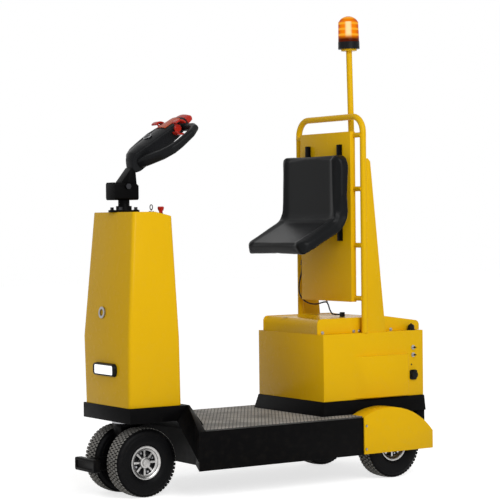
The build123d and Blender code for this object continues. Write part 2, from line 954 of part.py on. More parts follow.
# Plinth with arches over the rear wheels
arch_r = wheel_d / 2 + wheel_gap
arch_gap = 14
arch_in_y = (rear_track - tyre_w) / 2 - arch_gap
with BuildPart() as plinth:
    for z, flare in ((deck_z, plinth_flare), (box_bottom_z, 0)):
        front = box_front_x + 2 * flare
        with BuildSketch(Plane.XY.offset(z)):
            with Locations(((front + box_rear_x) / 2, 0)):
                Rectangle(front - box_rear_x, box_w + 2 * plinth_ledge + 2 * flare)
    loft(ruled=True)
    block(box_rear_x + plate, box_front_x - plate, -box_w / 2, box_w / 2, deck_z - 1,
          box_bottom_z - plate, Mode.SUBTRACT)
    for side in (-1, 1):
        bar_across(rear_axle_x, axle_z, 2 * arch_r, side * arch_in_y, side * plinth_w, Mode.SUBTRACT)
save(plinth, "plinth")

# Rear frame: two rails under the box and the rear crossmember
cross_x = box_rear_x + cross_w
with BuildPart() as rear_frame:
    for side in (-1, 1):
        block(cross_x, deck_rear_x, side * rail_y - rail_w / 2, side * rail_y + rail_w / 2,
              deck_z - rail_h, deck_z)
    block(box_rear_x, cross_x, -box_w / 2 - plinth_ledge, box_w / 2 + plinth_ledge, deck_z - cross_h,
          deck_z)
save(rear_frame, "rear_frame")

# Drive axle: a tube hung from the rails, gear case and motor in the middle
tube_end = rear_track / 2 - tyre_w / 2 - 10
motor_rise = 10
with BuildPart() as drive_axle:
    bar_across(rear_axle_x, axle_z, axle_tube_d, -tube_end, tube_end)
    bar_across(rear_axle_x, axle_z, gear_case_d, -gear_case_w / 2, gear_case_w / 2)
    with BuildSketch(Plane.YZ.offset(rear_axle_x)):
        with Locations((0, axle_z + motor_rise)):
            Circle(motor_d / 2)
    extrude(amount=motor_l)
    for side in (-1, 1):
        block(rear_axle_x - hanger_l / 2, rear_axle_x + hanger_l / 2, side * rail_y - hanger_w / 2,
              side * rail_y + hanger_w / 2, axle_z, deck_z - rail_h)
save(drive_axle, "drive_axle")

for name, side in (("left", 1), ("right", -1)):
    with BuildPart() as wheel_shaft:
        start = tube_end + turn_gap
        bar_across(rear_axle_x, axle_z, axle_d, side * start, side * (rear_track / 2 + hub_seat))
    save(wheel_shaft, f"rear_shaft_{name}")

# Battery and drive box: closed sheet with a bulge on each side, open below the lid
lid_opening = 20
box_sill = 30
with BuildPart() as power_box:
    block(box_rear_x, box_front_x, -box_w / 2, box_w / 2, box_bottom_z, box_top_z)
    for side in (-1, 1):
        with BuildSketch(Plane.XY.offset(bulge_bottom_z)):
            with BuildLine():
                Polyline(
                    (bulge_front_x, side * box_w / 2),
                    (bulge_flat_x, side * (box_w / 2 + bulge_out)),
                    (bulge_rear_x + bulge_rear_slope, side * (box_w / 2 + bulge_out)),
                    (bulge_rear_x, side * box_w / 2),
                    close=True,
                )
            make_face()
        extrude(amount=bulge_top_z - bulge_bottom_z)
    block(box_rear_x + sheet, box_front_x - sheet, -box_w / 2 + sheet, box_w / 2 - sheet,
          box_bottom_z + sheet, box_top_z - sheet, Mode.SUBTRACT)
    block(box_rear_x + box_sill, box_front_x - box_sill, -lid_w / 2 + lid_opening, lid_w / 2 - lid_opening,
          box_top_z - 2 * sheet, box_top_z + sheet, Mode.SUBTRACT)
save(power_box, "power_box")

# Lid: a bent sheet that falls to the rear, closed by an end plate on each side
lid_front_x = box_front_x + lid_front_over
lid_rear_x = box_rear_x - lid_rear_over


def lid_outline(y, inset, radius):
    """The lid's side outline at y, drawn inside its outer faces by inset."""
    with BuildSketch(side_plane(y)) as outline:
        with BuildLine():
            FilletPolyline(
                (lid_rear_x + inset, box_top_z),
                (lid_rear_x + inset, lid_rear_top_z - inset),
                (lid_flat_x, lid_top_z - inset),
                (lid_front_x - inset, lid_top_z - inset),
                (lid_front_x - inset, box_top_z),
                radius=radius,
            )
            Line((lid_front_x - inset, box_top_z), (lid_rear_x + inset, box_top_z))
        make_face()
    return outline.sketch


with BuildPart() as box_lid:
    extrude(lid_outline(-lid_w / 2, lid_proud, lid_r - lid_proud), amount=-lid_w)
    for side in (-1, 1):
        extrude(lid_outline(side * lid_w / 2, 0, lid_end_r), amount=side * sheet)
    extrude(lid_outline(-lid_w / 2 + sheet, lid_proud + sheet, lid_r - lid_proud - sheet),
            amount=-lid_w + 2 * sheet, mode=Mode.SUBTRACT)
save(box_lid, "box_lid")

with BuildPart() as battery_pack:
    mid_x = (box_front_x + box_rear_x) / 2
    block(mid_x - battery_w / 2, mid_x + battery_w / 2, -battery_w / 2, battery_w / 2,
          box_bottom_z + sheet, box_bottom_z + sheet + battery_h)
save(battery_pack, "battery_pack")

# Knob on the box's ledge, two switches and the charging socket on its left side
side_y = box_w / 2
knob_gap = 1.5
knob_d = lid_ledge - 2 * knob_gap
knob_grip_d = knob_d - 8
knob_x = box_rear_x + 45.5
switch_x = box_rear_x + 52.5
switch_heights = (box_top_z - 68, box_top_z - 98)
socket_x = box_rear_x + 53.5
socket_z = box_bottom_z + 84
with BuildPart() as lid_knob:
    knob_y = (lid_w / 2 + side_y) / 2
    disc(knob_x, knob_y, box_top_z, knob_d, 3)
    disc(knob_x, knob_y, box_top_z + 3, knob_grip_d, 14)
    with BuildSketch(Plane.XY.offset(box_top_z + 17)):
        with Locations((knob_x, knob_y)):
            Circle(knob_grip_d / 2)
    extrude(amount=6, taper=40)
    disc(knob_x, knob_y, box_top_z + 22, 7, 5)
save(lid_knob, "lid_knob")

with BuildPart() as box_switches:
    for z in switch_heights:
        for diameter, start, end in ((18, 0, 3), (9, 3, 11), (6, 11, 19)):
            bar_across(switch_x, z, diameter, side_y + start, side_y + end)
save(box_switches, "box_switches")

with BuildPart() as charge_socket:
    with BuildSketch(side_plane(side_y)):
        with Locations((socket_x, socket_z)):
            RectangleRounded(34, 40, 8)
    extrude(amount=-5)
    bar_across(socket_x, socket_z, 30, side_y + 5, side_y + 15)
    block(socket_x - 8, socket_x + 8, side_y, side_y + 18, socket_z + 11, socket_z + 19)
save(charge_socket, "charge_socket")

# Fenders: a flat outer plate, the arched strip and a folded front flange
fender_in_y = plinth_w / 2 + fender_gap
fender_out_y = deck_w / 2 + fender_lip
fender_front_x = deck_rear_x
fender_rear_x = rear_axle_x - wheel_d / 2 - fender_rear_gap
fender_crest_x = rear_axle_x + fender_crest_ahead
fender_bottom_z = skirt_z + fender_bottom_lift
fender_top_z = deck_z + fender_top_lift
fender_fall = fender_top_z - fender_crest_fall
fender_r = sqrt((fender_front_x - fender_crest_x) ** 2 + fender_fall**2)
fender_rear_z = fender_crest_fall + sqrt(fender_r**2 - (fender_rear_x - fender_crest_x) ** 2)
for name, side in (("left", 1), ("right", -1)):
    with BuildPart() as fender:
        for y0, y1, inset, mode in (
            (fender_in_y, fender_out_y, 0, Mode.ADD),
            (fender_in_y - 1, fender_out_y - sheet, sheet, Mode.SUBTRACT),
        ):
            low_z = fender_bottom_z - inset
            rear_x = fender_rear_x + inset
            front_x = fender_front_x - inset
            with BuildSketch(side_plane(side * y0)):
                with BuildLine():
                    Polyline((rear_x, fender_rear_z - inset), (rear_x, low_z), (front_x, low_z),
                             (front_x, fender_top_z - inset))
                    ThreePointArc(
                        (front_x, fender_top_z - inset),
                        (fender_crest_x, fender_crest_fall + fender_r - inset),
                        (rear_x, fender_rear_z - inset),
                    )
                make_face()
            extrude(amount=-side * (y1 - y0), mode=mode)
    save(fender, f"fender_{name}")

# Hoop of bent tube with the stubs that carry the back panel
with BuildPart() as hoop_frame:
    with BuildLine():
        FilletPolyline(
            (hoop_x, -hoop_y, box_top_z),
            (hoop_x, -hoop_y, hoop_top_z),
            (hoop_x, hoop_y, hoop_top_z),
            (hoop_x, hoop_y, box_top_z),
            radius=hoop_bend_r,
        )
    with BuildSketch(Plane(origin=(hoop_x, -hoop_y, box_top_z), z_dir=(0, 0, 1))):
        Circle(hoop_d / 2)
    sweep()
    for side in (-1, 1):
        for z in stub_heights:
            bar_across(stub_x, z, stub_d, side * panel_half_w, side * hoop_y)
save(hoop_frame, "hoop_frame")

# Tapered upright plates behind the hoop, each with a foot flange turned in
foot_w = 26
for name, side in (("left", 1), ("right", -1)):
    with BuildPart() as upright:
        side_profile(
            (
                (hoop_x - hoop_d / 2, box_top_z),
                (hoop_x - hoop_d / 2, upright_top_z),
                (upright_top_x + upright_corner, upright_top_z),
                (upright_top_x, upright_top_z - upright_corner),
                (upright_bottom_x, box_top_z),
            ),
            side * hoop_y - plate / 2,
            side * hoop_y + plate / 2,
        )
        inner = side * (hoop_y - foot_w)
        block(upright_bottom_x, hoop_x - hoop_d / 2, min(inner, side * hoop_y), max(inner, side * hoop_y),
              box_top_z, box_top_z + sheet)
    save(upright, f"upright_{name}")

# Back panel with folded side returns
panel_z = (panel_low_z + panel_high_z) / 2
panel_h = panel_high_z - panel_low_z
with BuildPart() as back_panel:
    for inset, front_x, mode in ((0, panel_x, Mode.ADD), (sheet, panel_x - sheet, Mode.SUBTRACT)):
        with BuildSketch(Plane.YZ.offset(panel_x - panel_return)):
            with Locations((0, panel_z)):
                RectangleRounded(2 * (panel_half_w - inset), panel_h - 2 * inset, panel_corner_r - inset)
        extrude(amount=front_x - panel_x + panel_return, mode=mode)
save(back_panel, "back_panel")

# Slotted rails and the bracket that carry the seat
with BuildPart() as seat_rails:
    for side in (-1, 1):
        y = side * rail_slot_y
        block(panel_x, panel_x + rail_slot_deep, y - rail_slot_w / 2, y + rail_slot_w / 2,
              rail_low_z, rail_high_z)
save(seat_rails, "seat_rails")

seat_rear_x = panel_x + rail_slot_deep + seat_gap
with BuildPart() as seat_bracket:
    half = rail_slot_y + rail_slot_w / 2
    block(panel_x + rail_slot_deep, seat_rear_x, -half, half, bracket_plate_z - bracket_plate_h / 2,
          bracket_plate_z + bracket_plate_h / 2)
save(seat_bracket, "seat_bracket")

# Seat: one dished section with a rolled edge, drawn along a bent spine
spine_x = seat_rear_x + seat_thick / 2
pan_turn = radians(seat_pan_angle)
pan_end = (spine_x + seat_pan_l * cos(pan_turn), 0, seat_knee_z - seat_pan_l * sin(pan_turn))
seat_face = seat_thick / 2
edge_step = 5
with BuildPart() as seat:
    with BuildLine():
        FilletPolyline(
            (spine_x, 0, seat_top_z), (spine_x, 0, seat_knee_z), pan_end, radius=seat_bend_r
        )
    with BuildSketch(Plane(origin=(spine_x, 0, seat_top_z), x_dir=(0, 1, 0), z_dir=(0, 0, -1))):
        with BuildLine():
            groove_n = seat_flange - seat_face
            left = (
                (0, -seat_face),
                (seat_half_w, -seat_face),
                (seat_half_w, groove_n),
                (seat_half_w - edge_step, groove_n + edge_step),
                (seat_half_w - edge_step, seat_face - 3 * edge_step),
                (seat_half_w - 4 * edge_step, seat_face),
                (seat_half_w - 8 * edge_step, seat_face - 2),
                (seat_half_w - 12 * edge_step, seat_face - seat_dish),
                (0, seat_face - seat_dish),
            )
            right = [(-y, n) for y, n in reversed(left[1:-1])]
            Polyline(*left, *right, close=True)
        make_face()
    sweep()
    with BuildSketch(Plane.YZ.offset(-reach)) as front_view:
        with Locations((0, seat_top_z - reach)):
            Rectangle(2 * seat_half_w, 2 * reach)
        fillet(front_view.vertices().group_by(Axis.Z)[-1], seat_corner_r)
    extrude(amount=2 * reach, mode=Mode.INTERSECT)
    with BuildSketch(Plane.XY) as plan_view:
        with Locations((pan_end[0] + seat_thick / 4 - reach, 0)):
            Rectangle(2 * reach, 2 * seat_half_w)
        fillet(plan_view.vertices().group_by(Axis.X)[-1], seat_pan_corner_r)
    extrude(amount=3 * reach, mode=Mode.INTERSECT)
save(seat, "seat")

# Beacon on its pole behind the hoop, all on one leaning axis
lean = radians(pole_lean)
pole_gap = 0.1
pole_l = (pole_top_z - pole_low_z) / cos(lean)
pole_x = hoop_x - hoop_d / 2 - pole_d / 2 / cos(lean) - pole_gap
pole_foot_x = pole_x - (hoop_top_z - pole_low_z) * tan(lean)
pole_foot = Plane(origin=(pole_foot_x, pole_y, pole_low_z), x_dir=(cos(lean), 0, -sin(lean)),
                  z_dir=(sin(lean), 0, cos(lean)))
with BuildPart() as beacon_pole:
    with BuildSketch(pole_foot):
        Circle(pole_d / 2)
    extrude(amount=pole_l)
    with BuildSketch(pole_foot.offset(pole_l)):
        Circle(disc_d / 2)
    extrude(amount=disc_thick)
    block(pole_foot_x, panel_x - sheet, pole_y - pole_clip_w / 2, pole_y + pole_clip_w / 2,
          pole_low_z + pole_clip_w, pole_low_z + pole_clip_w + pole_clip_h)
    with BuildSketch(pole_foot):
        Circle(pole_d / 2 - pole_wall)
    extrude(amount=pole_l, mode=Mode.SUBTRACT)
save(beacon_pole, "beacon_pole")

with BuildPart() as beacon_base:
    with BuildSketch(pole_foot.offset(pole_l + disc_thick)):
        Circle(beacon_base_d / 2)
    extrude(amount=beacon_base_h, taper=1)
save(beacon_base, "beacon_base")

# Lens with a dome in even bands
lens_plane = pole_foot.offset(pole_l + disc_thick + beacon_base_h)
dome_steps = 5
lens_height = beacon_top_z - lens_plane.origin.Z
shoulder_r = beacon_d / 2 - beacon_taper
dome_r = (shoulder_r**2 + beacon_dome**2) / (2 * beacon_dome)
with BuildPart() as beacon_lens:
    with BuildSketch(Plane(origin=lens_plane.origin, x_dir=lens_plane.x_dir, z_dir=(0, -1, 0))):
        with BuildLine():
            dome = []
            for step in range(dome_steps + 1):
                r = shoulder_r * (1 - step / dome_steps)
                dome.append((r, lens_height - dome_r + sqrt(dome_r**2 - r**2)))
            Polyline((0, 0), (beacon_d / 2, 0), *dome, close=True)
        make_face()
    revolve(axis=Axis(lens_plane.origin, lens_plane.z_dir))
save(beacon_lens, "beacon_lens")

# Rear coupling jaw with its lifting pin
jaw_end_x = box_rear_x - jaw_reach
jaw_pin_x = jaw_end_x + jaw_pin_inset
jaw_half = jaw_gap / 2
jaw_top_z = jaw_z + jaw_half + jaw_plate
jaw_low_z = jaw_z - jaw_half - jaw_plate
with BuildPart() as rear_coupling:
    block(box_rear_x - jaw_plate, box_rear_x, -jaw_w / 2, jaw_w / 2, jaw_low_z, jaw_top_z)
    for z in (jaw_low_z, jaw_top_z - jaw_plate):
        block(jaw_end_x, box_rear_x - jaw_plate, -jaw_w / 2, jaw_w / 2, z, z + jaw_plate)
    disc(jaw_pin_x, 0, jaw_low_z - 1, pin_d + 2 * turn_gap, jaw_top_z - jaw_low_z + 2, Mode.SUBTRACT)
save(rear_coupling, "rear_coupling")

pin_over = 6
pin_collar_gap = 1
pin_collar = 6
with BuildPart() as coupling_pin:
    disc(jaw_pin_x, 0, jaw_low_z - pin_over, pin_d, jaw_top_z - jaw_low_z + 2 * pin_over + pin_collar)
    disc(jaw_pin_x, 0, jaw_top_z + pin_collar_gap, pin_d + 10, pin_collar)
    with BuildSketch(Plane.YZ.offset(jaw_pin_x - pin_ring_bar / 2)):
        with Locations((0, jaw_top_z + pin_collar + pin_ring_d / 2)):
            Circle(pin_ring_d / 2)
            Circle(pin_ring_d / 2 - pin_ring_bar, mode=Mode.SUBTRACT)
    extrude(amount=pin_ring_bar)
save(coupling_pin, "coupling_pin")

# Seat switch cable: down beside the panel, along its lower edge, then onto the lid
cable_route = (
    (-366, -180, 838),
    (-365, -182, 812),
    (-361, -190, 780),
    (-357, -195, 746),
    (-357, -188, 716),
    (-362, -170, 694),
    (-370, -144, 682),
    (-374, -112, 678),
    (-375, -78, 682),
    (-373, -46, 689),
    (-372, -20, 691.5),
    (-373, -10, 679),
    (-374, -3, 659),
    (-375, 12, 643),
    (-376, 30, 641),
    (-375, 47, 642.5),
    (-375, 60, 643.5),
    (-375, 72, 643.5),
)
cable_radii = []
for before, here, after in zip(cable_route, cable_route[1:], cable_route[2:]):
    run_in = Vector(*here) - Vector(*before)
    run_out = Vector(*after) - Vector(*here)
    half_turn = radians(run_in.get_angle(run_out)) / 2
    cable_radii.append(0.45 * min(run_in.length, run_out.length) / tan(half_turn))
print("cable radii", [round(r) for r in cable_radii])
with BuildPart() as seat_cable:
    with BuildLine() as cable_line:
        FilletPolyline(*cable_route, radius=cable_radii)
    first_run = Vector(*cable_route[1]) - Vector(*cable_route[0])
    with BuildSketch(Plane(origin=cable_route[0], z_dir=first_run)):
        Circle(cable_d / 2)
    sweep()
cable_length = sum(edge.length for edge in cable_line.edges())
print("cable length", round(cable_length), "volume ratio",
      round(seat_cable.part.volume / (cable_length * pi * cable_d**2 / 4), 4))
save(seat_cable, "seat_cable")

with BuildPart() as cable_gland:
    with BuildSketch(Plane(origin=cable_route[0], z_dir=-first_run)):
        Circle(gland_d / 2)
    extrude(amount=gland_h)
    gland_z = cable_route[0][2]
    block(cable_route[0][0] - gland_d / 2, cable_route[0][0] + gland_d / 2, cable_route[0][1],
          -panel_half_w, gland_z + 4, gland_z + gland_h - 4)
save(cable_gland, "cable_gland")

with BuildPart() as cable_plug:
    plug_end = cable_route[-1]
    plug_drop = plug_end[2] - lid_top_z + lid_proud
    block(plug_end[0] - plug_w / 2, plug_end[0] + plug_w / 2, plug_end[1], plug_end[1] + plug_l,
          lid_top_z - lid_proud, lid_top_z - lid_proud + 2 * plug_drop)
save(cable_plug, "cable_plug")
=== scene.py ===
import json
from math import cos, pi, radians, sin, sqrt

import bmesh
import bpy
from mathutils import Matrix, Vector


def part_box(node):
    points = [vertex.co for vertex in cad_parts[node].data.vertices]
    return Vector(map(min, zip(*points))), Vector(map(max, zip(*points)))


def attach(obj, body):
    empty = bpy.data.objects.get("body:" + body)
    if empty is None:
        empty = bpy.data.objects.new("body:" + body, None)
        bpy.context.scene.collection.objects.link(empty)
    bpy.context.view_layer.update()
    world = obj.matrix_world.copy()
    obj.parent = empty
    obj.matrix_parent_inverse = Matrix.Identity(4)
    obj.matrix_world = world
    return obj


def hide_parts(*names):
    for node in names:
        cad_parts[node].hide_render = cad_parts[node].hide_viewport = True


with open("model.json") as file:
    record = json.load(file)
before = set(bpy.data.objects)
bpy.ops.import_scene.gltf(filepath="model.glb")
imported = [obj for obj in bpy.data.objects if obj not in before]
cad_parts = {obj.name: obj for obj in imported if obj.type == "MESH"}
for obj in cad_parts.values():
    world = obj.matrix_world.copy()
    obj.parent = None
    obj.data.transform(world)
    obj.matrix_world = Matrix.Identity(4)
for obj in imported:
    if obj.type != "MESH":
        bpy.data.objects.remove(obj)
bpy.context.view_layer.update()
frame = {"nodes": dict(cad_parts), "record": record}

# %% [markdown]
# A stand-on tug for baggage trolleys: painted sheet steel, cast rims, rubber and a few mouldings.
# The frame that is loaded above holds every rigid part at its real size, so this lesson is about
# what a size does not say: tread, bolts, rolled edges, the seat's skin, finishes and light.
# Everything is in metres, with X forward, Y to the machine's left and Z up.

nodes = frame["nodes"]
bodies = frame["record"]["behaviour"]["bodies"]
body_of = {name: body for body, names in bodies.items() for name in names}
slot_of = {part["node"]: part["material_slot"] for part in frame["record"]["subparts"]}


def put(name, data):
    """A new object in the scene, at the origin."""
    made = bpy.data.objects.new(name, data)
    bpy.context.scene.collection.objects.link(made)
    return made


print("pieces in the frame:", len(nodes))

# %% [markdown]
# The camera stands ahead of the machine and to its left, about a metre above the floor and seven
# metres away. A long lens keeps the uprights parallel. It could be aimed by hand, but a solved
# place and three turns repeat the picture exactly.

# %% Camera
camera_place = Vector((3.93934, 5.87016, 1.02795))
camera_yaw = -2.1603
camera_dip = 0.0169
camera_roll = -0.0108
picture_px = 500
focal_px = 1798.8942
sensor_mm = 36

forward = Vector((
    cos(camera_yaw) * cos(camera_dip), sin(camera_yaw) * cos(camera_dip), -sin(camera_dip),
))
level_right = forward.cross(Vector((0, 0, 1))).normalized()
level_up = level_right.cross(forward)
right = cos(camera_roll) * level_right + sin(camera_roll) * level_up
up = cos(camera_roll) * level_up - sin(camera_roll) * level_right

lens = bpy.data.cameras.new("camera")
lens.sensor_width = sensor_mm
lens.sensor_fit = "HORIZONTAL"
lens.lens = focal_px / picture_px * sensor_mm
camera = put("camera", lens)
camera_turn = Matrix((right, up, -forward)).transposed().to_4x4()
camera.matrix_world = Matrix.Translation(camera_place) @ camera_turn
bpy.context.scene.camera = camera
bpy.context.scene.view_settings.view_transform = "Standard"
print("lens", round(lens.lens, 2), "mm")

# %% [markdown]
# A thin cable runs from the switch under the seat, down beside the back panel and along its lower
# edge to a plug on the lid. A cable that is held at both ends hangs in a soft line, so it is one
# NURBS curve with a round bevel. The points are those of the tube in the frame, and the curve
# rounds them by itself. Each point's radius sets the thickness, so the bevel is 1.

# %% Seat switch cable
cable_route = (
    (-0.366, -0.180, 0.838), (-0.365, -0.182, 0.812), (-0.361, -0.190, 0.780),
    (-0.357, -0.195, 0.746), (-0.357, -0.188, 0.716), (-0.362, -0.170, 0.694),
    (-0.370, -0.144, 0.682), (-0.374, -0.112, 0.678), (-0.375, -0.078, 0.682),
    (-0.373, -0.046, 0.689), (-0.372, -0.020, 0.6915), (-0.373, -0.010, 0.679),
    (-0.374, -0.003, 0.659), (-0.375, 0.012, 0.643), (-0.376, 0.030, 0.641),
    (-0.375, 0.047, 0.6425), (-0.375, 0.060, 0.6435), (-0.375, 0.072, 0.6435),
)
cable_d = 0.006

cable_curve = bpy.data.curves.new("seat_cable", "CURVE")
cable_curve.dimensions = "3D"
cable_curve.bevel_depth = 1
cable_curve.bevel_resolution = 3
cable_curve.use_fill_caps = True
cable_line = cable_curve.splines.new("NURBS")
cable_line.points.add(len(cable_route) - 1)
for point, place in zip(cable_line.points, cable_route):
    point.co = (*place, 1)
    point.radius = cable_d / 2
cable_line.order_u = 3
cable_line.use_endpoint_u = True
cable_line.resolution_u = 8
cable = put("seat_cable_line", cable_curve)
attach(cable, "chassis")
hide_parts("seat_cable")

# %% [markdown]
# Materials and Geometry Nodes are both graphs of boxes and wires. Wiring them by hand hides the
# idea, so a socket is wrapped in a class that knows plus, minus and times. An expression such as
# 1 - wear * 0.5 then adds its own Math nodes, in either kind of graph.


# %% Arithmetic on sockets
class Value:
    """A number that changes over a surface or from point to point, held as a socket."""

    def __init__(self, graph, socket):
        self.graph = graph
        self.socket = socket

    def math(self, operation, *others):
        terms = dict(enumerate((self, *others)))
        return self.graph.node("ShaderNodeMath", {"operation": operation}, terms)

    def __add__(self, other):
        return self.math("ADD", other)

    def __sub__(self, other):
        return self.math("SUBTRACT", other)

    def __rsub__(self, other):
        return self.graph.node("ShaderNodeMath", {"operation": "SUBTRACT"}, {0: other, 1: self})

    def __mul__(self, other):
        return self.math("MULTIPLY", other)

    def __truediv__(self, other):
        return self.math("DIVIDE", other)

    __radd__ = __add__
    __rmul__ = __mul__

    def between(self, low, high):
        """0 at low and 1 at high, smooth in between."""
        inputs = {"Value": self, "From Min": low, "From Max": high}
        return self.graph.node("ShaderNodeMapRange", {"interpolation_type": "SMOOTHSTEP"}, inputs)


class Graph:
    """A node tree that is being written."""

    def __init__(self, tree):
        self.tree = tree

    def node(self, kind, settings=None, inputs=None, output=0):
        """Adds a node, sets it up, feeds its sockets and returns one of its outputs."""
        made = self.tree.nodes.new(kind)
        for name, value in (settings or {}).items():
            setattr(made, name, value)
        for name, value in (inputs or {}).items():
            if isinstance(value, Value):
                self.tree.links.new(value.socket, made.inputs[name])
            else:
                made.inputs[name].default_value = value
        return Value(self, made.outputs[output]) if made.outputs else None


class Finish(Graph):
    """A material that is being written, on the object's own coordinates in metres."""

    def __init__(self, name):
        self.material = bpy.data.materials.new(name)
        self.material.use_nodes = True
        super().__init__(self.material.node_tree)
        self.tree.nodes.clear()
        self.place = self.node("ShaderNodeTexCoord", output="Object")

    def noise(self, scale, detail=3.0, stretch=(1, 1, 1)):
        """Cloudy noise with about that many blotches in a metre."""
        vector = self.node("ShaderNodeMapping", inputs={"Vector": self.place, "Scale": stretch})
        inputs = {"Vector": vector, "Scale": scale, "Detail": detail}
        return self.node("ShaderNodeTexNoise", inputs=inputs)

    def axis(self, name):
        """One coordinate of the surface, in metres."""
        return self.node("ShaderNodeSeparateXYZ", inputs={0: self.place}, output=name)

    def mix(self, factor, low, high):
        """Goes from the colour low to the colour high as factor goes from 0 to 1."""
        inputs = {0: factor, 6: low, 7: high}
        return self.node("ShaderNodeMix", {"data_type": "RGBA"}, inputs, output=2)

    def bump(self, height, depth):
        """A normal whose relief is depth metres high where height is 1."""
        inputs = {"Height": height, "Distance": depth, "Strength": 1.0}
        return self.node("ShaderNodeBump", inputs=inputs)

    def shader(self, sockets):
        return self.node("ShaderNodeBsdfPrincipled", inputs=sockets)

    def end(self, shader):
        self.node("ShaderNodeOutputMaterial", inputs={"Surface": shader})
        return self.material


print("ready to write materials and patterns")

# %% [markdown]
# The paint is a gloss industrial enamel over folded sheet. Real enamel is never quite flat: it has
# a slight orange peel, its gloss varies where it has been rubbed, and dust settles low down.
# All of it comes from noise at the right scale, and the colour only shifts by a few percent. The
# white studio would grey such deep colours, so their reflection is kept low.


# %% Paint
def paint(name, light, deep, gloss, shine, dust_share):
    """An enamel between two shades, dustier near the floor."""
    finish = Finish(name)
    cloud = finish.noise(4.0)
    grime = finish.noise(38.0, detail=5).between(0.42, 0.85)
    low = 1 - finish.axis("Z").between(0.05, 0.45)
    dust = (0.22, 0.19, 0.15, 1)
    color = finish.mix(cloud * 0.6 + grime * 0.2, light, deep)
    color = finish.mix(grime * low * dust_share, color, dust)
    return finish.end(finish.shader({
        "Base Color": color, "Roughness": gloss + grime * 0.10, "Specular IOR Level": shine,
        "Normal": finish.bump(finish.noise(420.0, detail=1), 0.00005),
    }))


finishes = {
    # name: light, deep, roughness, reflection, share of dust
    name: paint(name, *values) for name, values in {
        "yellow_paint": ((0.85, 0.50, 0.005, 1), (0.79, 0.45, 0.004, 1), 0.24, 0.07, 0.05),
        "black_paint": (
            (0.0020, 0.0020, 0.0023, 1), (0.0035, 0.0032, 0.0032, 1), 0.38, 0.03, 0.02,
        ),
    }.items()
}
print("paints:", ", ".join(finishes))

# %% [markdown]
# Mouldings have a fine grain from their mould. Rubber is dark grey rather than black and quite
# rough. Plated and cast metal is bright, with a faint brushing that a stretched noise gives.


# %% Mouldings and metals
def moulding(name, light, deep, gloss, shine, grain, scale):
    """A moulded plastic or rubber with a fine grain of the given depth in metres."""
    finish = Finish(name)
    cloud = finish.noise(9.0)
    return finish.end(finish.shader({
        "Base Color": finish.mix(cloud, light, deep), "Roughness": gloss + cloud * 0.1,
        "Specular IOR Level": shine, "Normal": finish.bump(finish.noise(scale, detail=2), grain),
    }))


def metal(name, light, deep, gloss, stretch):
    """A bare, cast or plated metal, brushed along the stretch."""
    finish = Finish(name)
    brush = finish.noise(300.0, detail=4, stretch=stretch)
    cloud = finish.noise(14.0)
    return finish.end(finish.shader({
        "Base Color": finish.mix(cloud, light, deep), "Metallic": 1.0,
        "Roughness": gloss + brush * 0.14, "Normal": finish.bump(brush, 0.00004),
    }))


grey_black = (0.007, 0.007, 0.008, 1)
soft_black = (0.011, 0.011, 0.012, 1)
finishes.update({
    # name: light, deep, roughness, reflection, grain depth, grain scale
    name: moulding(name, *values) for name, values in {
        "graphite_plastic": (
            (0.006, 0.0065, 0.007, 1), (0.010, 0.0105, 0.012, 1), 0.34, 0.08, 0.00010, 900.0,
        ),
        "black_plastic": (grey_black, soft_black, 0.34, 0.08, 0.00008, 900.0),
        "cable_jacket": (grey_black, soft_black, 0.45, 0.15, 0.00005, 900.0),
        "seat_skin": (
            (0.003, 0.0035, 0.004, 1), (0.005, 0.0055, 0.0065, 1), 0.30, 0.10, 0.00010, 1100.0,
        ),
        "battery_case": (
            (0.05, 0.05, 0.055, 1), (0.04, 0.04, 0.044, 1), 0.50, 0.3, 0.0001, 700.0,
        ),
        "orange_plastic": (
            (0.52, 0.075, 0.012, 1), (0.42, 0.05, 0.009, 1), 0.35, 0.25, 0.00006, 800.0,
        ),
        "red_plastic": (
            (0.50, 0.020, 0.008, 1), (0.40, 0.013, 0.006, 1), 0.30, 0.25, 0.00005, 700.0,
        ),
    }.items()
})
finishes.update({
    # name: light, deep, roughness, brushing along each axis
    name: metal(name, *values) for name, values in {
        "dark_steel": ((0.05, 0.05, 0.055, 1), (0.02, 0.02, 0.022, 1), 0.25, (1, 1, 1)),
        "steel_bright": ((0.42, 0.42, 0.43, 1), (0.30, 0.30, 0.32, 1), 0.22, (1, 1, 6)),
    }.items()
})
print("finishes so far:", len(finishes))

# %% [markdown]
# Some small parts are two materials in one: the stop button is a red head on a dark collar, and a
# toggle switch is a black boot on a plated nut. They are one node each, so the finish changes at a
# height or a depth instead.


# %% Parts in two materials
def two_tone(name, axis, edge, before, after, shine_before, shine_after):
    """A finish that changes from one colour and metalness to another along an axis."""
    finish = Finish(name)
    past = finish.axis(axis).between(edge - 0.0003, edge + 0.0003)
    cloud = finish.noise(30.0)
    return finish.end(finish.shader({
        "Base Color": finish.mix(past, before, after),
        "Metallic": shine_before + past * (shine_after - shine_before),
        "Roughness": 0.28 + cloud * 0.12, "Specular IOR Level": 0.2,
        "Normal": finish.bump(finish.noise(700.0), 0.00005),
    }))


stop_low, stop_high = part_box("emergency_stop")
key_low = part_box("key_switch")[0]
switch_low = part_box("box_switches")[0]
red = (0.42, 0.012, 0.006, 1)
plated = (0.40, 0.40, 0.41, 1)
stop_red = two_tone("stop_red", "Z", stop_high[2] - 0.024, soft_black, red, 0.0, 0.0)
key_plate = two_tone("key_plate", "Z", key_low[2] + 0.018, plated, soft_black, 1.0, 0.0)
switch_boot = two_tone("switch_boot", "Y", switch_low[1] + 0.010, plated, soft_black, 1.0, 0.0)
print("stop button from", round(stop_low[2], 3), "to", round(stop_high[2], 3), "m")

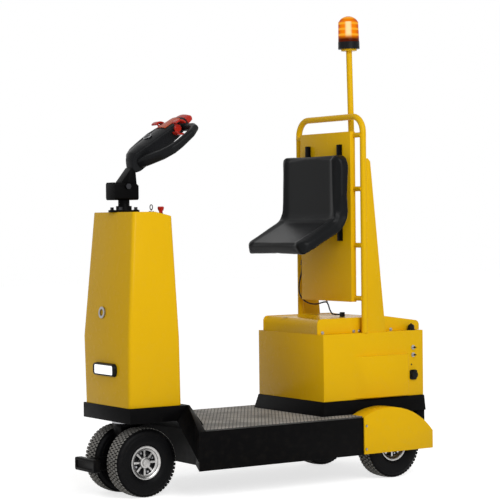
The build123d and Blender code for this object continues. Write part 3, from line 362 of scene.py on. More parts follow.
# %% [markdown]
# The deck mat is rubber with a lozenge grip, worn and dusty. As geometry it would be thousands of
# studs that nobody sees as such, so two slanting waves cross in the bump. Their product is a field
# of small lozenges, and the same field paints shade into the grooves between them. The mat's cut
# edge has no studs, so the field ends a millimetre below the top.

# %% Deck mat
stud_pitch = 0.0135
stud_slant = radians(34)
mat = Finish("deck_rubber")
along = mat.axis("X") * (cos(stud_slant) * pi / stud_pitch)
aside = mat.axis("Y") * (sin(stud_slant) * pi / stud_pitch)
crossed = (along + aside).math("SINE") * (along - aside).math("SINE")
stud = crossed.math("ABSOLUTE").between(0.03, 0.38)
mat_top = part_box("deck_mat")[1][2]
stud = stud * mat.axis("Z").between(mat_top - 0.0012, mat_top - 0.0004)
worn = mat.noise(7.0, detail=5)
speckle = mat.noise(160.0, detail=2)
mat_color = mat.mix(worn.between(0.30, 0.62), (0.22, 0.215, 0.20, 1), (0.44, 0.42, 0.39, 1))
# Painted shade: the grooves between the studs go near black.
mat_color = mat.mix((1 - stud) * 0.85, mat_color, (0.018, 0.018, 0.018, 1))
finishes["deck_rubber"] = mat.end(mat.shader({
    "Base Color": mat.mix(speckle.between(0.55, 0.8) * 0.3, mat_color, (0.45, 0.43, 0.40, 1)),
    "Roughness": 0.62 + worn * 0.2, "Specular IOR Level": 0.2, "Normal": mat.bump(stud, 0.0012),
}))
print("mat studs every", stud_pitch, "m, top at", round(mat_top, 3), "m")

# %% [markdown]
# The tyres are black on their walls and grey with dust on the tread. Where a block stands out, the
# road cleans it and dust rubs in, so the colour follows the distance from the axle. That needs only
# the surface's place and the axle's, so each axle gets its own rubber.


# %% Tyre rubber
tyre_low, tyre_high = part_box("front_tyre_left")
wheel_r = (tyre_high[2] - tyre_low[2]) / 2
tread_h = 0.0045
belt_r = wheel_r - tread_h


def rubber(name, axle_x):
    """Rubber that turns dusty towards the tread of a wheel on that axle."""
    finish = Finish(name)
    across = finish.axis("X") - axle_x
    rise = finish.axis("Z") - wheel_r
    out = (across * across + rise * rise).math("SQRT")
    cloud = finish.noise(60.0, detail=4)
    dusty = out.between(belt_r + 0.0006, belt_r + 0.0026) * (cloud * 0.8 + 0.5)
    film = out.between(wheel_r - 0.05, wheel_r) * cloud.between(0.4, 0.8) * 0.06
    color = finish.mix(film, (0.0045, 0.0045, 0.005, 1), (0.08, 0.075, 0.07, 1))
    return finish.end(finish.shader({
        "Base Color": finish.mix(dusty, color, (0.30, 0.29, 0.27, 1)), "Specular IOR Level": 0.06,
        "Roughness": 0.45 + dusty * 0.35, "Normal": finish.bump(cloud, 0.0002),
    }))


def middle(node):
    low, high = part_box(node)
    return (Vector(low) + Vector(high)) / 2


front_axle_x = middle("front_tyre_left").x
rear_axle_x = middle("rear_tyre_left").x
front_rubber = rubber("front_rubber", front_axle_x)
rear_rubber = rubber("rear_rubber", rear_axle_x)
finishes["tyre_rubber"] = front_rubber
print("wheels", round(2 * wheel_r, 3), "m across")
print("axles at x", round(front_axle_x, 3), "and", round(rear_axle_x, 3))

# %% [markdown]
# The rims are polished on the lip, the spokes and the hub. Through the windows one should see dark,
# so behind the disc the colour is painted shade: near black, dull and not metal. The distance from
# the middle of the machine tells how deep a point lies.


# %% Rim metal
def rim_metal(name, half_track):
    """Polished at the rim's open front, with painted shade behind its disc."""
    finish = Finish(name)
    depth = finish.axis("Y").math("ABSOLUTE") - half_track
    # face is 1 on the polished front and 0 behind the disc, where the near-black, dull, non-metal
    # colour is painted shade.
    face = depth.between(0.0145, 0.0175)
    brush = finish.noise(90.0, detail=4)
    bright = finish.mix(brush, (0.62, 0.61, 0.60, 1), (0.34, 0.335, 0.33, 1))
    return finish.end(finish.shader({
        "Base Color": finish.mix(face, (0.010, 0.010, 0.012, 1), bright), "Metallic": face * 0.95,
        "Roughness": 0.50 - face * 0.24 + brush * 0.12, "Specular IOR Level": 0.15,
        "Normal": finish.bump(brush, 0.0001),
    }))


front_rim = rim_metal("front_rim", middle("front_tyre_left").y)
rear_rim = rim_metal("rear_rim", middle("rear_tyre_left").y)
finishes["rim_silver"] = front_rim
print("front wheels", round(middle("front_tyre_left").y, 3), "m out")
print("rear wheels", round(middle("rear_tyre_left").y, 3), "m out")

# %% [markdown]
# The headlamp's lens has fine upright flutes, and its glow is a painted reflection: a white
# emission that ripples with the flutes stands for the bright reflector behind the lens. The beacon
# is lit: an amber dome round a bright tube. A real dome bends the tube's light towards its middle
# and goes deep orange at its edges, and its moulded bands make bright and dark rings. Layer Weight
# gives the first, a wave along the height the second.

# %% Lamps
flute_pitch = 0.006
lamp = Finish("lamp_lens")
flute = (lamp.axis("Y") * (2 * pi / flute_pitch)).math("SINE")
# Painted reflection: the lens's white emission, rippling with the flutes, stands for the bright
# reflector behind it.
finishes["lamp_lens"] = lamp.end(lamp.shader({
    "Base Color": (0.90, 0.92, 0.95, 1), "Roughness": 0.1, "Specular IOR Level": 0.2,
    "Emission Color": lamp.mix(flute * 0.3 + 0.5, (0.82, 0.86, 0.90, 1), (1, 1, 1, 1)),
    "Emission Strength": 0.9, "Normal": lamp.bump(flute, 0.0004),
}))

beacon_low, beacon_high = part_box("beacon_lens")
amber = Finish("amber_lens")
lens_rise = (amber.axis("Z") - beacon_low[2]) / (beacon_high[2] - beacon_low[2])
ring_turn = 29.0
ring = (lens_rise * ring_turn).math("SINE")
edge = amber.node("ShaderNodeLayerWeight", inputs={"Blend": 0.42}, output="Facing")
core = 1 - edge.between(0.005, 0.07)
band = ring.between(-0.2, 0.9) * (1 - edge.between(0.5, 0.95))
lit = lens_rise.between(0.10, 0.34) * (1 - lens_rise.between(0.80, 1.0) * 0.5)
lit_color = amber.mix(edge.between(0.1, 0.7), (0.95, 0.24, 0.0, 1), (0.42, 0.045, 0.0, 1))
lit_color = amber.mix(band * 0.8, lit_color, (1.0, 0.50, 0.03, 1))
lit_color = amber.mix(core * lit, lit_color, (1.0, 0.90, 0.45, 1))
dark_foot = 1 - lens_rise.between(0.08, 0.26)
finishes["amber_lens"] = amber.end(amber.shader({
    "Base Color": amber.mix(dark_foot, (0.16, 0.03, 0.0, 1), (0.03, 0.003, 0.0, 1)),
    "Roughness": 0.16, "Specular IOR Level": 0.03,
    "Emission Color": amber.mix(dark_foot, lit_color, (0.07, 0.006, 0.0, 1)),
    "Emission Strength": 0.85, "Normal": amber.bump(ring, 0.0008),
}))
print("beacon lens", round(beacon_high[2] - beacon_low[2], 3), "m high")

# %% [markdown]
# Every node of the frame now takes the finish that its row in the record names. The two-tone parts
# take their own.

# %% Hand out the finishes
special = {
    "emergency_stop": stop_red, "key_switch": key_plate, "box_switches": switch_boot,
    "tiller_pivot": finishes["dark_steel"],
}
for name, slot in slot_of.items():
    for material_slot in nodes[name].material_slots:
        material_slot.material = special.get(name, finishes[slot])
cable_curve.materials.append(finishes["cable_jacket"])
print("finishes:", len(finishes) + len(special))

# %% [markdown]
# Most new pieces start as a copy of a node's own mesh, so they stand exactly where the node does.
# The copy's loose triangles are merged first, then modifiers finish it: a bevel for folded sheet,
# a fine remesh with smoothing for mouldings.


# %% Copies of a node's mesh
def add_piece(name, mesh, body, slot, *replaced, finish=None):
    """Puts a finished mesh in the scene, on its body, in place of the nodes it stands for."""
    made = put(name, mesh)
    mesh.materials.clear()
    mesh.materials.append(finish or finishes[slot])
    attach(made, body)
    if replaced:
        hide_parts(*replaced)
    return made


def baked(item):
    """The mesh that an object shows once its modifiers have run."""
    graph = bpy.context.evaluated_depsgraph_get()
    return bpy.data.meshes.new_from_object(item.evaluated_get(graph))


def applied(mesh, modifiers):
    """A new mesh with a list of modifiers applied to it in order."""
    work = put("work", mesh)
    for kind, settings in modifiers:
        modifier = work.modifiers.new(kind.lower(), kind)
        for name, value in settings.items():
            setattr(modifier, name, value)
    result = baked(work)
    bpy.data.objects.remove(work)
    return result


def merged(node, flat=0.5):
    """A node's mesh with its triangles joined and its flat faces whole."""
    mesh = nodes[node].data.copy()
    work = bmesh.new()
    work.from_mesh(mesh)
    bmesh.ops.remove_doubles(work, verts=work.verts, dist=0.00002)
    bmesh.ops.dissolve_limit(work, angle_limit=radians(flat), verts=work.verts, edges=work.edges)
    work.to_mesh(mesh)
    work.free()
    return mesh


def shade(mesh, angle=35):
    """Smooth over turns below the angle, sharp above."""
    mesh.polygons.foreach_set("use_smooth", [True] * len(mesh.polygons))
    mesh.set_sharp_from_angle(angle=radians(angle))
    return mesh


def rolled(width, segments=2, turn=32):
    """A bevel on every edge that turns by more than the angle."""
    limits = {"limit_method": "ANGLE", "angle_limit": radians(turn)}
    return "BEVEL", {"width": width, "segments": segments, **limits}


print("copies can be merged, bevelled and shaded")

# %% [markdown]
# A folded or cut sheet never has a knife edge: its bends and rims catch a thin line of light. A
# small bevel on every sharp edge gives that line. The radius is what a press brake or a grinder
# leaves, from about one to three millimetres.

# %% Rolled and broken edges
edge_radii = {
    # node: radius in millimetres
    "column_cover": 2.0, "power_box": 2.5, "box_lid": 1.2, "nose_tray": 1.5, "platform": 1.5,
    "plinth": 1.5, "fender_left": 1.2, "fender_right": 1.2, "upright_left": 1.0,
    "upright_right": 1.0, "front_coupling": 1.5, "tiller_bracket": 1.0, "tiller_stem": 3.0,
    "rear_coupling": 1.2, "headlamp_bezel": 1.5, "steering_flange": 0.8, "rear_frame": 1.0,
    "seat_rails": 0.8, "steering_yoke": 1.5, "charge_socket": 0.8,
}
for name, radius in edge_radii.items():
    sheet = shade(applied(merged(name), [rolled(radius / 1000)]))
    add_piece(name + "_sheet", sheet, body_of[name], slot_of[name], name)
print("edges rolled on", len(edge_radii), "pieces")

# %% [markdown]
# The tiller's head, loops, tip and levers are mouldings with soft edges all round. A remesh at two
# or three millimetres turns each into an even skin, and smoothing then rounds every edge by about
# the same amount, as a mould's corners are.

# %% Mouldings of the tiller
moulded = {
    # node: voxel in millimetres, rounds of smoothing
    "tiller_head": (2.6, 10), "tiller_loop_left": (2.6, 12), "tiller_loop_right": (2.6, 12),
    "tiller_button": (2.0, 8), "thumb_levers": (1.6, 5), "head_cover": (1.0, 3),
}
for name, (voxel, rounds) in moulded.items():
    modifiers = [
        ("REMESH", {"mode": "VOXEL", "voxel_size": voxel / 1000}),
        ("SMOOTH", {"factor": 0.5, "iterations": rounds}),
    ]
    skin = shade(applied(merged(name), modifiers), 60)
    add_piece(name + "_skin", skin, body_of[name], slot_of[name], name)
    print(name, len(skin.polygons), "faces")

# %% [markdown]
# The seat is a one-piece foam moulding with a tough black skin, a rolled rim and a dished face. It
# is firm, so pressure only swells it by a few millimetres. The copy is remeshed, blown up for a
# few frames with Cloth, held to a small swell, and subdivided once.

# %% Seat
seat_voxel = 0.006
seat_swell = 0.005
seat_pressure = 4
seat_stiffness = 5
last_frame = 12
seat_mesh = applied(merged("seat"), [
    ("REMESH", {"mode": "VOXEL", "voxel_size": seat_voxel}),
    ("SMOOTH", {"factor": 0.5, "iterations": 6}),
])
start = [vertex.co.copy() for vertex in seat_mesh.vertices]
pad = put("pad", seat_mesh)
cloth = pad.modifiers.new("cloth", "CLOTH")
cloth.settings.use_pressure = True
cloth.settings.uniform_pressure_force = seat_pressure
cloth.settings.effector_weights.gravity = 0
cloth.settings.bending_stiffness = seat_stiffness
for moment in range(1, last_frame + 1):
    bpy.context.scene.frame_set(moment)
blown = baked(pad)
bpy.data.objects.remove(pad)
bpy.context.scene.frame_set(1)
for vertex, before in zip(blown.vertices, start):
    shift = vertex.co - before
    vertex.co = before + shift * min(1, seat_swell / max(shift.length, 1e-6))
seat_mesh = blown
seat_mesh = shade(applied(seat_mesh, [("SUBSURF", {"levels": 1, "render_levels": 1})]), 80)
seat = add_piece("seat_pad", seat_mesh, "chassis", "seat_skin", "seat")
print("seat", len(seat_mesh.polygons), "faces")

# %% [markdown]
# What repeats comes from Geometry Nodes. The class below holds one tree: its sizes are named
# inputs, it ends in Realize Instances and Set Material, and building it gives a plain mesh.


# %% Patterns
class Pattern(Graph):
    """A Geometry Nodes tree with named sizes."""

    def __init__(self, name, **sizes):
        super().__init__(bpy.data.node_groups.new(name, "GeometryNodeTree"))
        faces = self.tree.interface
        faces.new_socket("Geometry", in_out="OUTPUT", socket_type="NodeSocketGeometry")
        faces.new_socket("Geometry", in_out="INPUT", socket_type="NodeSocketGeometry")
        self.identifiers = {}
        for size, value in sizes.items():
            kind = "NodeSocketInt" if isinstance(value, int) else "NodeSocketFloat"
            socket = faces.new_socket(size, in_out="INPUT", socket_type=kind)
            socket.default_value = value
            self.identifiers[size] = socket.identifier
        self.entry = self.tree.nodes.new("NodeGroupInput")

    def given(self, name):
        return Value(self, self.entry.outputs[name])

    def vector(self, x=0.0, y=0.0, z=0.0):
        return self.node("ShaderNodeCombineXYZ", inputs={"X": x, "Y": y, "Z": z})

    def end(self, geometry, material):
        whole = self.node("GeometryNodeRealizeInstances", inputs={"Geometry": geometry})
        inputs = {"Geometry": whole, "Material": material}
        coated = self.node("GeometryNodeSetMaterial", inputs=inputs)
        self.node("NodeGroupOutput", inputs={"Geometry": coated})

    def build(self, mesh, **sizes):
        """The mesh that the tree makes from a start mesh with these sizes."""
        work = put("work", mesh)
        modifier = work.modifiers.new("pattern", "NODES")
        modifier.node_group = self.tree
        for size, value in sizes.items():
            modifier[self.identifiers[size]] = value
        result = baked(work)
        bpy.data.objects.remove(work)
        return result


print("patterns can be built")

# %% [markdown]
# A pneumatic tyre has a round wall and rows of small tread blocks. The wall is a profile turned
# round the axle. The blocks start as a flat grid, one point a block: its length is wrapped round
# the wheel, every other row is shifted by half a block, and the crown falls away to the shoulders.
# A field is read anew where it is used, so each block's turn comes from its wrapped place.

# %% Tread
block_sunk = 0.0015
tread = Pattern(
    "tread", radius=wheel_r, width=0.06, crown=2.0, count=54, rows=5, length=0.0118, breadth=0.0118,
)
around = tread.given("count")
flat_grid = tread.node("GeometryNodeMeshGrid", inputs={
    "Size X": (around - 1) / around * (2 * pi), "Size Y": tread.given("width"),
    "Vertices X": around, "Vertices Y": tread.given("rows"),
})
spot = tread.node("GeometryNodeInputPosition")
turn_share = tread.node("ShaderNodeSeparateXYZ", inputs={0: spot}, output="X")
side_place = tread.node("ShaderNodeSeparateXYZ", inputs={0: spot}, output="Y")
row = tread.node("GeometryNodeInputIndex").math("MODULO", tread.given("rows"))
turn = turn_share + row.math("MODULO", 2.0) * pi / around
reach = tread.given("radius") - side_place * side_place * tread.given("crown")
wrapped = tread.vector(reach * turn.math("SINE"), side_place, reach * turn.math("COSINE"))
points = tread.node("GeometryNodeSetPosition", inputs={"Geometry": flat_grid, "Position": wrapped})
rise = tread.node("ShaderNodeSeparateXYZ", inputs={0: spot}, output="Z")
facing = turn_share.math("ARCTAN2", rise)
block = tread.node("GeometryNodeMeshCone", inputs={
    "Vertices": 4, "Radius Top": 0.58, "Radius Bottom": 0.707, "Depth": 1.0,
})
block = tread.node("GeometryNodeTransform", inputs={"Geometry": block, "Rotation": (0, 0, pi / 4)})
tread.end(tread.node("GeometryNodeInstanceOnPoints", inputs={
    "Points": points, "Instance": block, "Rotation": tread.vector(0.0, facing, 0.0),
    "Scale": tread.vector(tread.given("length"), tread.given("breadth"), tread_h + block_sunk),
}), front_rubber)
print("tread pattern:", ", ".join(tread.identifiers))

# %% [markdown]
# Tyres and rims are profiles turned round the axle, as on a lathe. Blender can spin a profile too,
# but writing the rings of points closes the seam by itself. Which way the faces look is then left
# to Blender.


# %% Turned shapes
def outward(mesh, merge=0.0):
    """Merges points closer than merge and turns every face outwards."""
    work = bmesh.new()
    work.from_mesh(mesh)
    if merge:
        bmesh.ops.remove_doubles(work, verts=work.verts, dist=merge)
    bmesh.ops.recalc_face_normals(work, faces=work.faces)
    work.to_mesh(mesh)
    work.free()
    return mesh


def turned(profile, steps, centre):
    """Turns a closed profile of (radius, distance along Y) points round the Y axis."""
    mesh = bpy.data.meshes.new("turned")
    count = len(profile)
    places = []
    for step in range(steps):
        angle = 2 * pi * step / steps
        for radius, out in profile:
            places.append(centre + Vector((radius * sin(angle), out, radius * cos(angle))))
    faces = []
    for step in range(steps):
        for index in range(count):
            here = step * count + index
            along = step * count + (index + 1) % count
            after = (step + 1) % steps * count
            faces.append((here, along, after + (index + 1) % count, after + index))
    mesh.from_pydata(places, [], faces)
    return outward(mesh)


def joined(meshes):
    """One mesh from several."""
    work = bmesh.new()
    for mesh in meshes:
        work.from_mesh(mesh)
    result = bpy.data.meshes.new("joined")
    work.to_mesh(result)
    work.free()
    return result


print("profiles can be turned and joined")

# %% [markdown]
# The wall's profile follows the real tyre: a bead on the rim, a raised band above it, the fullest
# width halfway up, and a shoulder that rolls into the tread. A thin moulded rib runs round the
# shoulder.

# %% Tyres
bead_r, bead_half = 0.052, 0.031
half_profile = (
    # radius, distance from the middle
    (bead_r, bead_half), (0.0625, bead_half), (0.066, 0.0325), (0.070, 0.0365), (0.078, 0.0398),
    (0.088, 0.0416), (0.097, 0.0420), (0.100, 0.0420), (0.101, 0.0414), (0.104, 0.0413),
    (0.105, 0.0416), (0.110, 0.0408), (0.116, 0.0388), (0.1205, 0.0355), (belt_r - 0.0024, 0.0310),
    (belt_r - 0.0008, 0.0200), (belt_r, 0.0),
)
tyre_profile = list(half_profile) + [(r, -out) for r, out in reversed(half_profile[:-1])]
wheel_steps = 96
for end, finish in (("front", front_rubber), ("rear", rear_rubber)):
    for side in ("left", "right"):
        name = f"{end}_tyre_{side}"
        centre = middle(name)
        blocks = tread.build(bpy.data.meshes.new("start"), radius=belt_r - block_sunk)
        blocks.transform(Matrix.Translation(centre))
        tyre = shade(joined([turned(tyre_profile, wheel_steps, centre), blocks]), 30)
        add_piece(name + "_tread", tyre, body_of[name], "tyre_rubber", name, finish=finish)
print("tyre", len(tyre.polygons), "faces")

# %% [markdown]
# Bolts hold the lid's end plates, the fenders and the bearing flange. Each is a hexagon on a
# washer. The tree takes a mesh of loose points, one a bolt, and an attribute that says which way
# each bolt looks.

# %% Bolts
bolts = Pattern("bolts", across=0.010, height=0.0055, washer=0.016)
facing_kind = {"data_type": "FLOAT_VECTOR"}
bolt_way = bolts.node("GeometryNodeInputNamedAttribute", facing_kind, {"Name": "outward"})
aim = bolts.node("FunctionNodeAlignRotationToVector", {"axis": "Z"}, {"Vector": bolt_way})
washer_h = 0.0015
head = bolts.node("GeometryNodeMeshCylinder", inputs={
    "Vertices": 6, "Radius": bolts.given("across") / sqrt(3), "Depth": bolts.given("height"),
})
lift = bolts.vector(z=bolts.given("height") / 2 + washer_h)
head = bolts.node("GeometryNodeTransform", inputs={"Geometry": head, "Translation": lift})
ring_plate = bolts.node("GeometryNodeMeshCylinder", inputs={
    "Vertices": 24, "Radius": bolts.given("washer") / 2, "Depth": washer_h,
})
seated = bolts.node("GeometryNodeTransform", inputs={
    "Geometry": ring_plate, "Translation": (0, 0, washer_h / 2),
})
joiner = bolts.tree.nodes.new("GeometryNodeJoinGeometry")
for part in (head, seated):
    bolts.tree.links.new(part.socket, joiner.inputs[0])
bolts.end(bolts.node("GeometryNodeInstanceOnPoints", inputs={
    "Points": bolts.given("Geometry"), "Instance": Value(bolts, joiner.outputs[0]), "Rotation": aim,
}), finishes["steel_bright"])


def add_bolts(name, body, spots, finish=None, **sizes):
    """Steel bolts at a list of (place, direction) spots."""
    start = bpy.data.meshes.new(name)
    start.from_pydata([place for place, _ in spots], [], [])
    look = start.attributes.new("outward", "FLOAT_VECTOR", "POINT")
    for item, (_, direction) in zip(look.data, spots):
        item.vector = direction
    add_piece(name, bolts.build(start, **sizes), body, "steel_bright", finish=finish)


lid_low, lid_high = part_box("box_lid")
plate_y = lid_high[1]
lid_bolt_z = lid_low[2] + 0.006
lid_spots = []
for x in (-0.197, -0.350, -0.3775, -0.5355):
    for side in (1, -1):
        lid_spots.append(((x, side * plate_y, lid_bolt_z), (0, side, 0)))
add_bolts("lid_bolts", "chassis", lid_spots, across=0.008, height=0.004, washer=0.013)

fender_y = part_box("fender_left")[1][1] - washer_h
fender_spots = []
for x, z in ((-0.3056, 0.222), (-0.3045, 0.132)):
    for side in (1, -1):
        fender_spots.append(((x, side * fender_y, z), (0, side, 0)))
add_bolts("fender_bolts", "chassis", fender_spots, across=0.007, height=0.002, washer=0.011)

flange = middle("steering_flange")
flange_t = 0.008
flange_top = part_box("steering_flange")[0][2] + flange_t
stud_r = 0.046
stud_spots = []
for quarter in range(4):
    angle = pi / 4 + quarter * pi / 2
    place = (flange.x + stud_r * cos(angle), flange.y + stud_r * sin(angle), flange_top)
    stud_spots.append((place, (0, 0, 1)))
add_bolts(
    "flange_nuts", "chassis", stud_spots, finishes["dark_steel"],
    across=0.013, height=0.009, washer=0.018,
)
print("bolts:", len(lid_spots) + len(fender_spots) + len(stud_spots))

# %% [markdown]
# Each rim has a turned lip and barrel, a turned hub, a plate behind whose dark colour is painted
# shade, and eight narrow spokes, with four small bolts in the windows. The spokes repeat, so they
# come from a tree: one tapered bar is set out on a circle and turned to follow it.

# %% Spokes
spokes = Pattern(
    "spokes", count=8, middle=0.034, length=0.032, width=0.0075, thick=0.006, depth=0.020,
)
wheel_turn = spokes.node("GeometryNodeInputIndex") / spokes.given("count") * (2 * pi)
hoop = spokes.node("GeometryNodeMeshCircle", inputs={
    "Vertices": spokes.given("count"), "Radius": spokes.given("middle"),
})
on_circle = spokes.vector(
    spokes.given("middle") * wheel_turn.math("SINE"), spokes.given("depth"),
    spokes.given("middle") * wheel_turn.math("COSINE"),
)
spoke_points = spokes.node("GeometryNodeSetPosition", inputs={
    "Geometry": hoop, "Position": on_circle,
})
spoke = spokes.node("GeometryNodeMeshCone", inputs={
    "Vertices": 4, "Radius Top": 0.80, "Radius Bottom": 0.60, "Depth": 1.0,
})
spoke = spokes.node("GeometryNodeTransform", inputs={"Geometry": spoke, "Rotation": (0, 0, pi / 4)})
half_down = {"Geometry": spoke, "Translation": (0, 0, -0.5)}
spoke = spokes.node("GeometryNodeTransform", inputs=half_down)
spokes.end(spokes.node("GeometryNodeInstanceOnPoints", inputs={
    "Points": spoke_points, "Instance": spoke, "Rotation": spokes.vector(0.0, wheel_turn, 0.0),
    "Scale": spokes.vector(spokes.given("width"), spokes.given("thick"), spokes.given("length")),
}), front_rim)
print("spoke pattern:", ", ".join(spokes.identifiers))

# %% [markdown]
# The other parts of a rim are three closed profiles: the lip with its barrel, the hub, and the
# plate behind, which lies deep enough to take the rim's painted shade. One wheel serves all four
# places. On the right side it is mirrored, which would turn its faces inwards, so they are flipped
# back.

# %% Rims
lip_profile = (
    # radius, distance out from the wheel's middle
    (0.0625, 0.0310), (0.0625, 0.0348), (0.0600, 0.0350), (0.0520, 0.0300), (0.0490, 0.0250),
    (0.0460, 0.0232), (0.0460, 0.0172), (0.0485, 0.0172), (0.0485, -0.0340), (0.0600, -0.0350),
    (0.0625, -0.0348), (0.0625, -0.0310), (0.0520, -0.0300), (0.0520, 0.0300),
)
hub_profile = (
    (0.0102, -0.0030), (0.0230, -0.0030), (0.0230, 0.0240), (0.0205, 0.0300), (0.0150, 0.0310),
    (0.0135, 0.0368), (0.0006, 0.0370), (0.0006, 0.0212), (0.0102, 0.0212),
)
# The plate behind the spokes carries the rim's painted shade.
shade_plate_profile = ((0.0102, 0.0040), (0.0487, 0.0040), (0.0487, 0.0080), (0.0102, 0.0080))
rim_steps = 64
rim_bolt_r, rim_bolt_out = 0.038, 0.012
for end, finish in (("front", front_rim), ("rear", rear_rim)):
    for side, sign in (("left", 1), ("right", -1)):
        name = f"{end}_rim_{side}"
        centre = middle(f"{end}_tyre_{side}")
        bars = spokes.build(bpy.data.meshes.new("start"))
        profiles = (lip_profile, hub_profile, shade_plate_profile)
        rings = [turned(profile, rim_steps, Vector()) for profile in profiles]
        wheel = joined([bars, *rings])
        wheel.transform(Matrix.Diagonal((1, sign, 1, 1)))
        wheel.transform(Matrix.Translation(centre))
        if sign < 0:
            wheel.flip_normals()
        wheel = shade(wheel, 40)
        add_piece(name + "_spokes", wheel, body_of[name], "rim_silver", name, finish=finish)
        spots = []
        for quarter in range(4):
            angle = (quarter + 0.5) * pi / 2 + pi / 8
            out = Vector((rim_bolt_r * cos(angle), sign * rim_bolt_out, rim_bolt_r * sin(angle)))
            spots.append((tuple(centre + out), (0, sign, 0)))
        size = {"across": 0.007, "height": 0.008, "washer": 0.009}
        add_bolts(name + "_bolts", body_of[name], spots, **size)
print("rim", len(wheel.polygons), "faces")

# %% [markdown]
# The mat covers the deck up to the slanted shoulders beside the nose. It is a flat outline given
# some thickness, cut round the plinth at the rear and the toe plate in front.

# %% Mat
mat_low, mat_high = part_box("deck_mat")
plinth_low, plinth_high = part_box("plinth")
mat_gap = 0.002
mat_side = mat_high[1]
shoulder_in, shoulder_out = (0.398, 0.182), (0.426, mat_side)
half_outline = (
    (mat_low[0], plinth_high[1] + mat_gap), (mat_low[0], mat_side), shoulder_out, shoulder_in,
    (mat_high[0], shoulder_in[1]),
)
cut_x = plinth_high[0] + mat_gap
outline = [(cut_x, plinth_high[1] + mat_gap), *half_outline]
outline += [(x, -y) for x, y in reversed(outline)]
flat = bpy.data.meshes.new("mat")
flat.from_pydata([(x, y, mat_low[2]) for x, y in outline], [], [tuple(range(len(outline)))])
work = bmesh.new()
work.from_mesh(flat)
raised = bmesh.ops.extrude_face_region(work, geom=work.faces[:])
lifted = [item for item in raised["geom"] if isinstance(item, bmesh.types.BMVert)]
bmesh.ops.translate(work, verts=lifted, vec=(0, 0, mat_high[2] - mat_low[2]))
bmesh.ops.recalc_face_normals(work, faces=work.faces)
bmesh.ops.triangulate(work, faces=work.faces)
work.to_mesh(flat)
work.free()
add_piece("mat_sheet", flat, "chassis", "deck_rubber", "deck_mat")
print("mat outline of", len(outline), "corners")

# %% [markdown]
# The back panel is a tray of folded sheet with square corners. An open box, thickened inward and
# bevelled, is the quickest honest model of such a tray.

# %% Back panel
panel_low, panel_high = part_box("back_panel")
sheet_t = 0.004
panel_bend = 0.0018
x0, y0, z0 = panel_low
x1, y1, z1 = panel_high
tray_points = [(x, y, z) for x in (x0, x1) for y in (y0, y1) for z in (z0, z1)]
tray_faces = [(4, 6, 7, 5), (0, 4, 5, 1), (2, 3, 7, 6), (0, 2, 6, 4), (1, 5, 7, 3)]
tray = bpy.data.meshes.new("tray")
tray.from_pydata(tray_points, [], tray_faces)
tray = shade(applied(tray, [
    ("SOLIDIFY", {"thickness": sheet_t, "offset": -1, "use_even_offset": True}),
    rolled(panel_bend),
]))
add_piece("panel_tray", tray, "chassis", "yellow_paint", "back_panel")
print("panel", round(y1 - y0, 3), "m wide and", round(z1 - z0, 3), "m high")

# %% [markdown]
# Small things finish the machine: an oval badge frame on the tiller's head, left blank, thin dark
# ovals on the lid and a thin dark disc under the switches, which are painted shade for slots and
# for a hole, and the tie that holds the cable. They are discs and rings a few millimetres high, set
# on the surface that carries them.


# %% Small fittings
def add_disc(name, centre, normal, radii, height, body, slot, hole=0.0):
    """An oval disc or ring standing on a surface."""
    steps = 40
    turn = Vector(normal).to_track_quat("Z", "X").to_matrix().to_4x4()
    place = Matrix.Translation(centre) @ turn
    points, faces = [], []
    for step in range(steps):
        angle = 2 * pi * step / steps
        for share, z in ((1, 0), (1, height), (hole, height), (hole, 0)):
            spot = Vector((radii[0] * share * cos(angle), radii[1] * share * sin(angle), z))
            points.append(place @ spot)
        here, after = step * 4, (step + 1) % steps * 4
        for index in range(4):
            following = (index + 1) % 4
            faces.append((here + index, here + following, after + following, after + index))
    mesh = bpy.data.meshes.new(name)
    mesh.from_pydata(points, [], faces)
    add_piece(name, shade(outward(mesh, merge=0.00001)), body, slot)


lid_top = lid_high[2] - 0.002
film = 0.0004
# Painted shade: thin dark ovals on the lid top stand for the dark inside of slots.
for number, (x, y) in enumerate(((-0.393, -0.116), (-0.223, 0.080), (-0.186, -0.050))):
    place = (x, y, lid_top)
    add_disc(
        f"lid_slot_shade_{number}", place, (0, 0, 1), (0.011, 0.004), film, "chassis", "black_plastic",
    )
# Painted shade: a thin dark disc stands for the dark inside of the hole under the switches.
side_place = (-0.6114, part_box("charge_socket")[0][1], 0.4389)
add_disc("side_hole_shade", side_place, (0, 1, 0), (0.0035, 0.0035), film, "chassis", "black_plastic")

tiller_angle = radians(40)
tiller_along = Vector((-cos(tiller_angle), 0, sin(tiller_angle)))
tiller_square = Vector((sin(tiller_angle), 0, cos(tiller_angle)))
pivot = Vector((0.582, 0, 1.157))
badge_u = 0.204
crown_v = 0.0750
crown_fall = radians(6)
badge_place = pivot + badge_u * tiller_along + crown_v * tiller_square
badge_normal = tiller_square + tiller_along * sin(crown_fall)
add_disc(
    "badge_frame", badge_place, badge_normal, (0.015, 0.022), 0.0022, "tiller", "steel_bright",
    hole=0.86,
)
add_disc(
    "badge_plate", badge_place, badge_normal, (0.0135, 0.020), 0.0012, "tiller", "graphite_plastic",
)

tie_place = Vector((-0.372, -0.022, 0.6915))
add_disc(
    "cable_tie", tie_place, (0, 1, 0), (0.0044, 0.0044), 0.0035, "chassis", "cable_jacket",
    hole=0.7,
)
print("badge at", [round(value, 3) for value in badge_place])

# %% [markdown]
# The machine stands on white. A pale floor catches its shadow. On rays that show the floor,
# straight or in gloss, it glows a little, so that it meets the white behind it without a line. On
# all other rays it is dull, so that it throws no more light on the machine.

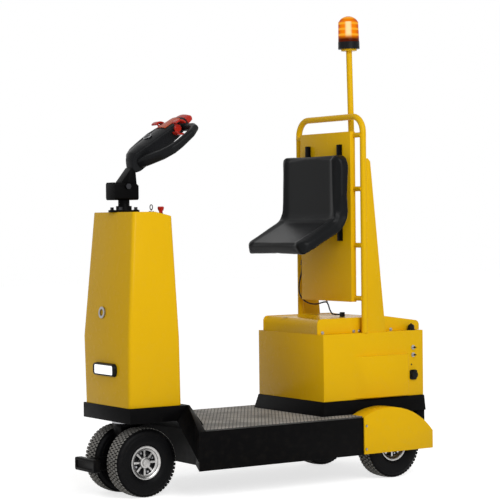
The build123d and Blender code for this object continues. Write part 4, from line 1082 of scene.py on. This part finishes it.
# %% Floor
floor_half = 20
floor_mesh = bpy.data.meshes.new("floor")
signs = ((-1, -1), (1, -1), (1, 1), (-1, 1))
corners = [(floor_half * x, floor_half * y, 0) for x, y in signs]
floor_mesh.from_pydata(corners, [], [(0, 1, 2, 3)])
floor = put("floor", floor_mesh)


def seen_rays(graph):
    """1 on rays that show a surface to the camera, directly or in gloss and glass."""
    total = None
    for kind in ("Is Camera Ray", "Is Glossy Ray", "Is Transmission Ray"):
        ray = graph.node("ShaderNodeLightPath", output=kind)
        total = total + ray if total else ray
    return total.math("MINIMUM", 1.0)


ground = Finish("floor")
matt = {"Base Color": (0.75, 0.75, 0.75, 1), "Roughness": 1.0}
dull = ground.shader(matt)
pale = ground.shader({**matt, "Emission Color": (1, 1, 1, 1), "Emission Strength": 0.72})
floor_mesh.materials.append(ground.end(ground.node("ShaderNodeMixShader", inputs={
    0: seen_rays(ground), 1: dull, 2: pale,
})))
print("floor", 2 * floor_half, "m across")

# %% [markdown]
# A white world shows behind the machine and in its gloss, but lights it only softly. One large soft
# box on the machine's left makes the near sides bright and leaves the front faces darker, and a
# weaker one ahead fills them.

# %% World and lamps
world = bpy.data.worlds.new("studio")
world.use_nodes = True
world.node_tree.nodes.clear()
sky = Graph(world.node_tree)
soft = sky.node("ShaderNodeBackground", inputs={"Color": (1, 1, 1, 1), "Strength": 0.34})
white = sky.node("ShaderNodeBackground", inputs={"Color": (1, 1, 1, 1), "Strength": 1.0})
sky.node("ShaderNodeOutputWorld", inputs={
    "Surface": sky.node("ShaderNodeMixShader", inputs={0: seen_rays(sky), 1: soft, 2: white}),
})
bpy.context.scene.world = world


def soft_box(name, place, aim, size, power):
    """A square area lamp at a place, turned to a point."""
    light = bpy.data.lights.new(name, "AREA")
    light.size = size
    light.energy = power
    stand = put(name, light)
    turn = (Vector(aim) - Vector(place)).to_track_quat("-Z", "Y").to_matrix().to_4x4()
    stand.matrix_world = Matrix.Translation(place) @ turn


waist = (0, 0, 0.7)
soft_box("key", (0.8, 4.5, 3.2), waist, 3.0, 150)
soft_box("front_fill", (4.5, 0.5, 2.0), waist, 2.5, 13)
print("lamps: key 150 W, front fill 13 W")
